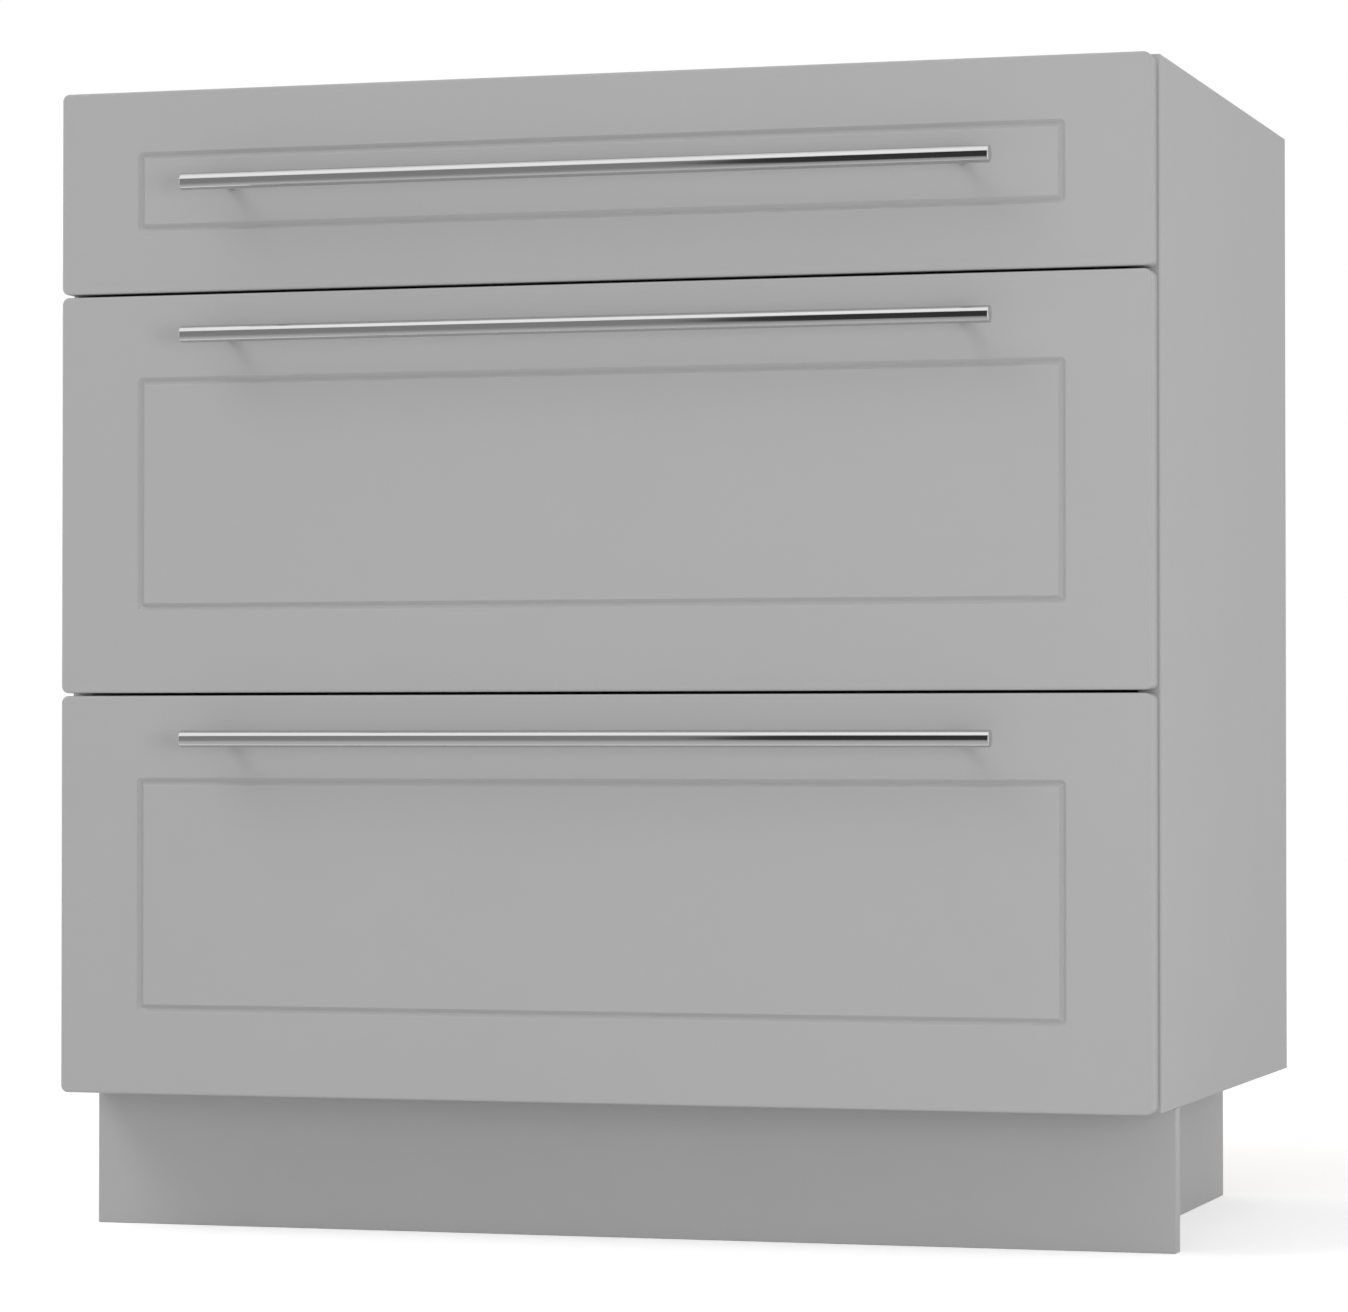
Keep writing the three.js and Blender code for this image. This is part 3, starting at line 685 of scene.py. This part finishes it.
# dark grey, dull, a little lighter where light grazes it
dark_plastic = moulded("moulded_dark_grey_plastic", "#4A4C4E", "#525456", 0.4, 0.55)


def rounded_path(corners, radius, steps=5):
    """A bent line through (x, z) corners, each rounded to a radius where there is room."""
    path = [corners[0]]
    for before, corner, after in zip(corners, corners[1:], corners[2:]):
        c, b, a = Vector(corner), Vector(before), Vector(after)
        into, out = (b - c).normalized(), (a - c).normalized()
        half = into.angle(out) / 2
        reach = min(radius / math.tan(half), 0.49 * (b - c).length, 0.49 * (a - c).length)
        bend = reach * math.tan(half)
        centre = c + (into + out).normalized() * bend / math.sin(half)
        start = c + into * reach - centre
        turn = start.angle_signed(c + out * reach - centre)
        for i in range(steps + 1):
            path.append(tuple(centre + Matrix.Rotation(-turn * i / steps, 2) @ start))
    path.append(corners[-1])
    return path


def sheet_section(corners, thickness, radius):
    """The closed section of a bent sheet whose middle line runs through the corners."""
    path = [Vector(p) for p in rounded_path(corners, radius)]
    left, right = [], []
    for i, p in enumerate(path):
        after = (path[i + 1] - p).normalized() if i < len(path) - 1 else None
        before = (p - path[i - 1]).normalized() if i else after
        after = after or before
        along = (before + after).normalized()
        across = Vector((-along.y, along.x)) * thickness / 2 / max(along.dot(after), 0.3)
        left.append(tuple(p + across))
        right.append(tuple(p - across))
    return left + right[::-1]


def on_side(form, side, z=0):
    """Puts a form, drawn inwards from the left side of the carcass, on its own side."""
    placed = moved(form, (-inner_half, 0, z))
    return placed if side == "left" else mirrored(placed)


# sections are drawn from the inner face of the side board inwards, and up from the rail's foot
SHEET, HALF_SHEET, BEND = 1.5 * mm, 0.75 * mm, 1.4 * mm
OFF_BOARD, WEB = 0.3 * mm, 34 * mm
CHANNEL_START, CHANNEL_END, CHANNEL_HEIGHT, LIP = 5 * mm, 25 * mm, 10 * mm, 6 * mm
rail_web = [
    (OFF_BOARD + HALF_SHEET, WEB),
    (OFF_BOARD + HALF_SHEET, HALF_SHEET),
    (CHANNEL_END - HALF_SHEET, HALF_SHEET),
    (CHANNEL_END - HALF_SHEET, CHANNEL_HEIGHT - HALF_SHEET),
    (CHANNEL_END - LIP, CHANNEL_HEIGHT - HALF_SHEET),
]
rail_lip = [
    (CHANNEL_START + HALF_SHEET, SHEET),
    (CHANNEL_START + HALF_SHEET, CHANNEL_HEIGHT - HALF_SHEET),
    (CHANNEL_START + LIP, CHANNEL_HEIGHT - HALF_SHEET),
]
cabinet_rail_sections = [sheet_section(line, SHEET, BEND) for line in (rail_web, rail_lip)]
SLACK = 0.5 * mm  # running clearance
DRAWER_RAIL_LOW = CHANNEL_HEIGHT + 1 * mm
DRAWER_RAIL_HIGH = DRAWER_RAIL_LOW + CHANNEL_HEIGHT
flange_low = SHEET + SLACK + HALF_SHEET
flange_high = DRAWER_RAIL_HIGH - SHEET - SLACK - HALF_SHEET
middle = (CHANNEL_START + CHANNEL_END) / 2
reach = (CHANNEL_END - CHANNEL_START) / 2 - SHEET - SLACK
# the floating rail is two channels, back to back, with a hair between so that each stays closed
back = HALF_SHEET + 0.01 * mm
floating_rail_sections = []
for way in (-1, 1):
    tip_x, back_x = middle + way * reach, middle + way * back
    line = [(tip_x, flange_low), (back_x, flange_low), (back_x, flange_high), (tip_x, flange_high)]
    floating_rail_sections.append(sheet_section(line, SHEET, BEND))

# rollers stand in a row, in a cage above and below each flange
row_tree, row_in = new_tree(
    "pieces_in_a_row", Count="Int", Start="Vector", Step="Vector",
    Piece="Object", Material="Material",
)
line = add_node(
    row_tree,
    "GeometryNodeMeshLine",
    {"Count": row_in["Count"], "Start Location": row_in["Start"], "Offset": row_in["Step"]},
)
one = add_node(row_tree, "GeometryNodeObjectInfo", {"Object": row_in["Piece"]})
copies = {"Points": line, "Instance": one.outputs["Geometry"]}
repeated = add_node(row_tree, "GeometryNodeInstanceOnPoints", copies)
end_tree(row_tree, repeated, row_in["Material"])

ROLLER, ROLLER_EASE, ROLLER_HALF = 2.2 * mm, 0.3 * mm, 1.6 * mm
ROLLERS, ROLLER_PITCH, FIRST_ROLLER = 16, 8 * mm, 30 * mm
TRACKS = (middle - 5.6 * mm, middle + 5.6 * mm)  # two rollers side by side
roller = [(0, -ROLLER_HALF), (ROLLER - ROLLER_EASE, -ROLLER_HALF)]
roller.append((ROLLER, ROLLER_EASE - ROLLER_HALF))
roller = revolve(roller + [(r, -x) for r, x in reversed(roller)], 16, "X")
roller_levels = (
    ("lower", flange_low + HALF_SHEET + ROLLER),
    ("upper", flange_high - HALF_SHEET - ROLLER),
)
RAIL_SCREWS, RAIL_SCREW_HEIGHT = (34 * mm, 226 * mm, 386 * mm), 22 * mm
rail_screw = cross_head(3.6 * mm, 2 * mm, 1.1 * mm)
# a soft-close damper hangs beside the rear of each cabinet rail
DAMPER_INNER, DAMPER_OUTER = CHANNEL_END + 0.3 * mm, CHANNEL_END + 10 * mm
DAMPER_START, DAMPER_END = 150 * mm, 40 * mm  # before the rear end of the rail
DAMPER_LOW, DAMPER_HIGH, DAMPER_EASE = 2 * mm, 15 * mm, 1.5 * mm
damper_rod = revolve([(0, 0), (1.5 * mm, 0), (1.5 * mm, 34 * mm), (0, 34 * mm)], 20, "Y")
rod_x, rod_z = (DAMPER_INNER + DAMPER_OUTER) / 2, (DAMPER_LOW + DAMPER_HIGH) / 2
DRAWERS = ("bottom", "middle", "top")
for drawer in DRAWERS:
    for side, sign in SIDES:
        node = f"{drawer}_cabinet_rail_{side}"
        low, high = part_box(node)
        rail_z = low[2]
        rail = joined([drawn(section, low[1], high[1]) for section in cabinet_rail_sections])
        made = build(node + "_strip", on_side(rail, side, rail_z), zinc, crease=50)
        fit(made, "carcass", "galvanised_steel", node)
        flange_x = sign * (inner_half - OFF_BOARD - SHEET)
        marks = [(flange_x, low[1] + y, rail_z + RAIL_SCREW_HEIGHT) for y in RAIL_SCREWS]
        head = facing(rail_screw, (-sign, 0, 0))
        repeat(node + "_screws", head, screw_zinc, "carcass", "galvanised_steel", marks)
        damper_start, damper_end = high[1] - DAMPER_START, high[1] - DAMPER_END
        low_corner = (DAMPER_INNER, damper_start, DAMPER_LOW)
        high_corner = (DAMPER_OUTER, damper_end, DAMPER_HIGH)
        damper = eased_block(low_corner, high_corner, DAMPER_EASE)
        made = build(node + "_damper", on_side(damper, side, rail_z), dark_plastic)
        fit(made, "carcass", "leg_plastic")
        rod = on_side(moved(damper_rod, (rod_x, damper_end, rod_z)), side, rail_z)
        fit(build(node + "_damper_rod", rod, screw_zinc), "carcass", "galvanised_steel")

        node = f"{drawer}_floating_rail_{side}"
        low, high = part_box(node)
        rail = joined([drawn(section, low[1], high[1]) for section in floating_rail_sections])
        made = build(node + "_strip", on_side(rail, side, rail_z), zinc, crease=50)
        fit(made, f"{drawer}_floating_rails", "galvanised_steel", node)
        for level, height in roller_levels:
            places = [(sign * (inner_half - x), 0, rail_z + height) for x in TRACKS]
            pair = joined([moved(roller, place) for place in places])
            start, step = (0, low[1] + FIRST_ROLLER, 0), (0, ROLLER_PITCH, 0)
            repeat(
                f"{node}_{level}_rollers", pair, nylon, f"{drawer}_floating_rails", "leg_plastic",
                tree=row_tree, Count=ROLLERS, Start=start, Step=step,
            )

# ---- drawer sides
# One steel strip folded into a double wall with a rounded crown and a bead in its inner skin, and
# powder coated. At its foot the strip turns in as a ledge under the base board, and the drawer
# rail is welded below. Plastic plugs close the ends, and a cap hides the adjusters.

# a cool mid grey with a little metal in it, whose fine texture keeps the highlights soft
powder, tree = new_material("powder_coated_steel")
inputs = {"Base Color": cloudy(tree, 30 * mm, "#8E9194", "#949799"), "Metallic": 0.35}
inputs |= skin(tree, 0.8 * mm, 0.42, 0.55, depth=0.04 * mm, strength=0.35, detail=3)
finish_material(tree, "ShaderNodeBsdfPrincipled", inputs)

WALL, SKIN, HALF_SKIN, CROWN = 13 * mm, 1.2 * mm, 0.6 * mm, 5.4 * mm
SIDE_HEIGHT, LEDGE = 100 * mm, 11 * mm
BEAD_LOW, BEAD_HIGH, BEAD_DEPTH = 55 * mm, 62 * mm, 1.2 * mm
PLUG, PLUG_CORNER = 2 * mm, 6.2 * mm
COVER_IN, COVER_UP = 28 * mm, 80 * mm  # from the front end, and from the rail's foot
outer, inner = CHANNEL_START + HALF_SKIN, CHANNEL_START + WALL - HALF_SKIN
wall_section = sheet_section(
    [
        (CHANNEL_END + LEDGE, DRAWER_RAIL_HIGH - HALF_SKIN),
        (inner, DRAWER_RAIL_HIGH - HALF_SKIN),
        (inner, BEAD_LOW),
        (inner - BEAD_DEPTH, BEAD_LOW + BEAD_DEPTH),
        (inner - BEAD_DEPTH, BEAD_HIGH - BEAD_DEPTH),
        (inner, BEAD_HIGH),
        (inner, SIDE_HEIGHT - HALF_SKIN),
        (outer, SIDE_HEIGHT - HALF_SKIN),
        (outer, DRAWER_RAIL_HIGH - HALF_SKIN),
    ],
    SKIN,
    CROWN,
)
rail_top = DRAWER_RAIL_HIGH - SKIN - HALF_SHEET
drawer_rail_section = sheet_section(
    [
        (CHANNEL_START + LIP, DRAWER_RAIL_LOW + HALF_SHEET),
        (CHANNEL_START + HALF_SHEET, DRAWER_RAIL_LOW + HALF_SHEET),
        (CHANNEL_START + HALF_SHEET, rail_top),
        (CHANNEL_END - HALF_SHEET, rail_top),
        (CHANNEL_END - HALF_SHEET, DRAWER_RAIL_LOW + HALF_SHEET),
        (CHANNEL_END - LIP, DRAWER_RAIL_LOW + HALF_SHEET),
    ],
    SHEET,
    BEND,
)
plug_section = rounded_path(
    [
        (CHANNEL_START + WALL / 2, DRAWER_RAIL_HIGH),
        (CHANNEL_START + WALL, DRAWER_RAIL_HIGH),
        (CHANNEL_START + WALL, SIDE_HEIGHT),
        (CHANNEL_START, SIDE_HEIGHT),
        (CHANNEL_START, DRAWER_RAIL_HIGH),
        (CHANNEL_START + WALL / 2 - 0.1 * mm, DRAWER_RAIL_HIGH),
    ],
    PLUG_CORNER,
    steps=8,
)
cover_cap = cross_head(7.5 * mm, 1.3 * mm, 0.6 * mm)
for drawer in DRAWERS:
    body = f"{drawer}_drawer"
    for side, sign in SIDES:
        node = f"{drawer}_drawer_side_{side}"
        low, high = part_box(node)
        rail_z = low[2] - DRAWER_RAIL_LOW
        wall = drawn(wall_section, low[1] + PLUG, high[1] - PLUG)
        rail = drawn(drawer_rail_section, low[1] + PLUG, high[1])
        strip = on_side(joined([wall, rail]), side, rail_z)
        fit(build(node + "_strip", strip, powder, crease=50), body, "coated_steel", node)
        ends = ((low[1], low[1] + PLUG), (high[1] - PLUG, high[1]))
        plugs = joined([drawn(plug_section, start, end) for start, end in ends])
        made = build(node + "_plugs", on_side(plugs, side, rail_z), grey_plastic)
        fit(made, body, "leg_plastic")
        face_x = sign * (inner_half - CHANNEL_START - WALL)
        marks = [(face_x, low[1] + COVER_IN, rail_z + COVER_UP)]
        cover = facing(cover_cap, (-sign, 0, 0))
        repeat(node + "_cover_cap", cover, grey_plastic, body, "leg_plastic", marks)

# ---- drawer boards
# Base and back are chipboard with pale melamine. The base drops in between the steel sides, and
# angle brackets of zinc-plated steel screw the back to them.

# a light warm grey, dull, with the same pearl as the grey boards
pale_melamine = melamine("pale_melamine", "#D6D6D4", "#DADAD8")
BRACKET, ARM, BRACKET_BEND = 1.2 * mm, 26 * mm, 2 * mm
BRACKET_LOW, BRACKET_HIGH = 3 * mm, 50 * mm  # above the base board
BRACKET_SCREWS = (14 * mm, 39 * mm)
SIDE_SCREW, BACK_SCREW = 15 * mm, 16 * mm  # from the corner
wall_face = CHANNEL_START + WALL
for drawer in DRAWERS:
    body = f"{drawer}_drawer"
    dress(pale_melamine, f"{drawer}_drawer_base", f"{drawer}_drawer_back")
    floor_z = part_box(f"{drawer}_drawer_base")[1][2]
    wall_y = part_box(f"{drawer}_drawer_back")[0][1]
    x, y = wall_face + BRACKET / 2, wall_y - BRACKET / 2
    angle = [(x, wall_y - ARM), (x, y), (wall_face + ARM, y)]
    section = sheet_section(angle, BRACKET, BRACKET_BEND)
    levels = (floor_z + BRACKET_LOW, floor_z + BRACKET_HIGH)
    bracket = stacked([[(x, y, z) for x, y in section] for z in levels])
    screw_levels = [floor_z + z for z in BRACKET_SCREWS]
    for side, sign in SIDES:
        name = f"{drawer}_back_bracket_{side}"
        made = build(name, on_side(bracket, side), zinc, crease=50)
        fit(made, body, "galvanised_steel")
        x, y = sign * (inner_half - wall_face - BRACKET), wall_y - SIDE_SCREW
        to_side, head = [(x, y, z) for z in screw_levels], facing(screw, (-sign, 0, 0))
        repeat(name + "_side_screws", head, screw_zinc, body, "galvanised_steel", to_side)
        x, y = sign * (inner_half - wall_face - BACK_SCREW), wall_y - BRACKET
        to_back, head = [(x, y, z) for z in screw_levels], facing(screw, (0, -1, 0))
        repeat(name + "_back_screws", head, screw_zinc, body, "galvanised_steel", to_back)

# ---- gallery rails
# Steel tube with the same powder coat, from the front to the back board of a deep drawer. It
# stands in a moulded socket at each end, and each socket is screwed on by its flange.
CUP, CUP_FLANGE, CUP_LENGTH = 7.5 * mm, 10.5 * mm, 14 * mm
for drawer in ("bottom", "middle"):
    body = f"{drawer}_drawer"
    for side, _ in SIDES:
        node = f"{drawer}_drawer_gallery_rail_{side}"
        low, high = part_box(node)
        r = (high[0] - low[0]) / 2
        length = high[1] - low[1]
        x, z = (low[0] + high[0]) / 2, (low[2] + high[2]) / 2
        tube = revolve([(0, 0), (r, 0), (r, length), (0, length)], 40, "Y")
        made = build(node + "_tube", moved(tube, (x, low[1], z)), powder)
        fit(made, body, "coated_steel", node)
        cup = [(0, 0), (CUP_FLANGE, 0), (CUP_FLANGE, 2 * mm), (CUP + 0.8 * mm, 2.6 * mm)]
        cup += [(CUP, 4 * mm), (CUP - 0.6 * mm, CUP_LENGTH - 0.6 * mm)]
        cup += [(CUP - 1.2 * mm, CUP_LENGTH), (r, CUP_LENGTH), (0, CUP_LENGTH)]
        for end, wall_y, way in (("front", low[1], 1), ("back", high[1], -1)):
            socket = revolve([(radius, way * y) for radius, y in cup], 40, "Y")
            made = build(f"{node}_{end}_socket", moved(socket, (x, wall_y, z)), grey_plastic)
            fit(made, body, "leg_plastic")

# ---- fronts
# Fibreboard with a line routed round it near the edge, sprayed with satin grey paint. The paint
# softens the shoulders of the line and leaves a slight orange peel. Four clear buffers on the
# back of each front rest against the edges of the carcass.

# an even mid grey like that of the boards, with soft highlights that the peel just breaks up
lacquer, tree = new_material("satin_paint")
inputs = {"Base Color": cloudy(tree, 120 * mm, "#AEAEAE", "#B0B0B0")}
inputs |= skin(tree, 2.4 * mm, 0.42, 0.5, depth=0.03 * mm, strength=0.2)
finish_material(tree, "ShaderNodeBsdfPrincipled", inputs)
# clear with a milky tinge, and soft highlights
silicone, tree = new_material("clear_silicone")
inputs = {"Base Color": cloudy(tree, 4 * mm, "#DDE0E0", "#E6E8E8"), "Roughness": 0.25}
inputs |= {"Transmission Weight": 0.35, "IOR": 1.41}
finish_material(tree, "ShaderNodeBsdfPrincipled", inputs)

CORNER, EDGE, EDGE_STEPS, BACK_EDGE = 5 * mm, 1.6 * mm, 8, 0.6 * mm
MARGIN, SHALLOW_MARGIN = 61.5 * mm, 46.5 * mm  # from the edge to the middle of the line
LINE_HALF, LINE_STEPS, LINE_CORNER, INNER_CORNER = 2.75 * mm, 24, 4 * mm, 1 * mm
LINE_DEPTH = 2.4 * mm  # 0.3 mm more than the plain solid has, for the shade the real line shows
LINE_TIP = 0.2  # how round the point of the cutter is, as a share of the half width
HOLD = 0.4 * mm  # a ring this near to a curve keeps the flat face flat
BUFFER_IN, BUFFER_UP = 10 * mm, 18 * mm  # from the ends, and from the top and bottom


def front_ring(low, high, inset_x, inset_z, depth, radius, steps=10):
    """A rounded rectangle inside the outline of a front, at a depth behind its face."""
    ring = []
    middle_x, middle_z = (low[0] + high[0]) / 2, (low[2] + high[2]) / 2
    half_x, half_z = high[0] - middle_x - inset_x - radius, high[2] - middle_z - inset_z - radius
    for quarter, (way_x, way_z) in enumerate(((1, 1), (-1, 1), (-1, -1), (1, -1))):
        for i in range(steps + 1):
            a = (quarter + i / steps) * math.pi / 2
            x = middle_x + way_x * half_x + radius * math.cos(a)
            z = middle_z + way_z * half_z + radius * math.sin(a)
            ring.append((x, low[1] + depth, z))
    return ring


line_profile = [(LINE_HALF + HOLD, 0)]  # across the line from outside in, and depths
shoulder = math.hypot(1, LINE_TIP)
for i in range(LINE_STEPS + 1):
    share = 1 - 2 * i / LINE_STEPS
    fall = shoulder - math.hypot(share, LINE_TIP)
    line_profile.append((share * LINE_HALF, LINE_DEPTH * fall / (shoulder - LINE_TIP)))
line_profile.append((-LINE_HALF - HOLD, 0))
buffer = revolve([(0, 0), (3.5 * mm, 0), (3.2 * mm, 1.2 * mm), (2 * mm, 2 * mm), (0, 2.2 * mm)], 24)
buffer = facing(buffer, (0, 1, 0))
for drawer in DRAWERS:
    node = f"{drawer}_drawer_front"
    low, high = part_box(node)
    margin_z = SHALLOW_MARGIN if drawer == "top" else MARGIN
    thickness = high[1] - low[1]
    rings = [
        front_ring(low, high, BACK_EDGE, BACK_EDGE, thickness, CORNER - BACK_EDGE),
        front_ring(low, high, 0, 0, thickness - BACK_EDGE, CORNER),
    ]
    for i in range(EDGE_STEPS + 1):
        a = math.radians(90 * i / EDGE_STEPS)
        inset = EDGE * (1 - math.cos(a))
        rings.append(front_ring(low, high, inset, inset, EDGE * (1 - math.sin(a)), CORNER - inset))
    rings.append(front_ring(low, high, EDGE + HOLD, EDGE + HOLD, 0, CORNER - EDGE - HOLD))
    for across, depth in line_profile:
        radius = max(INNER_CORNER, LINE_CORNER - LINE_HALF + across)
        rings.append(front_ring(low, high, MARGIN - across, margin_z - across, depth, radius))
    made = build(node + "_board", stacked(rings), lacquer, crease=60)
    fit(made, f"{drawer}_drawer", "painted_front", node)
    levels = (low[2] + BUFFER_UP, high[2] - BUFFER_UP)
    marks = [(x, high[1], z) for x in (low[0] + BUFFER_IN, high[0] - BUFFER_IN) for z in levels]
    repeat(node + "_buffers", buffer, silicone, f"{drawer}_drawer", "leg_plastic", marks)

# ---- handles
# Round stainless bar, polished along its length, on two turned posts. A screw from behind the
# front pulls each post into a saddle that fits the round of the bar.

# a bright, neutral metal; the lines from polishing, drawn coarser than they are so that they
# show, break up the edges of what it mirrors
stainless, tree = new_material("polished_stainless_steel")
inputs = {"Base Color": srgb("#CECECE"), "Metallic": 1.0}
inputs |= skin(tree, 0.25 * mm, 0.06, 0.12, detail=3, stretch=(0.02, 1, 1))
finish_material(tree, "ShaderNodeBsdfPrincipled", inputs)

CHAMFER, CHAMFER_STEPS, POST_EASE, POST_STEPS = 0.8 * mm, 4, 0.3 * mm, 40
handle_screw = facing(cross_head(4 * mm, 1.9 * mm, 1.1 * mm), (0, 1, 0))
for drawer in DRAWERS:
    body = f"{drawer}_drawer"
    low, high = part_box(f"{drawer}_handle_bar")
    r, half = (high[2] - low[2]) / 2, (high[0] - low[0]) / 2
    bar_y, bar_z = (low[1] + high[1]) / 2, (low[2] + high[2]) / 2
    rim = []
    for i in range(CHAMFER_STEPS + 1):
        a = math.radians(90 * i / CHAMFER_STEPS)
        rim.append((r - CHAMFER * (1 - math.sin(a)), half - CHAMFER * (1 - math.cos(a))))
    rod = [(0, -half)] + [(radius, -x) for radius, x in rim]
    rod += [(radius, x) for radius, x in reversed(rim)] + [(0, half)]
    made = build(f"{drawer}_handle_rod", moved(revolve(rod, 72, "X"), (0, bar_y, bar_z)), stainless)
    fit(made, body, "handle_steel", f"{drawer}_handle_bar")
    back_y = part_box(f"{drawer}_drawer_front")[1][1]
    marks = []
    for side, _ in SIDES:
        node = f"{drawer}_handle_post_{side}"
        low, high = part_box(node)
        post, x = (high[0] - low[0]) / 2, (low[0] + high[0]) / 2
        marks.append((x, back_y, bar_z))
        rings = []
        # from the front of the drawer to the saddle, which has no single y
        for ease, y in ((POST_EASE, high[1]), (0, high[1] - POST_EASE), (0, None)):
            ring = []
            for i in range(POST_STEPS):
                a = 2 * math.pi * i / POST_STEPS
                across, up = (post - ease) * math.cos(a), (post - ease) * math.sin(a)
                saddle = bar_y + math.sqrt(r * r - up * up)
                ring.append((x + across, saddle if y is None else y, bar_z + up))
            rings.append(ring)
        fit(build(node + "_turned", stacked(rings), stainless), body, "handle_steel", node)
    repeat(f"{drawer}_handle_screws", handle_screw, screw_zinc, body, "galvanised_steel", marks)
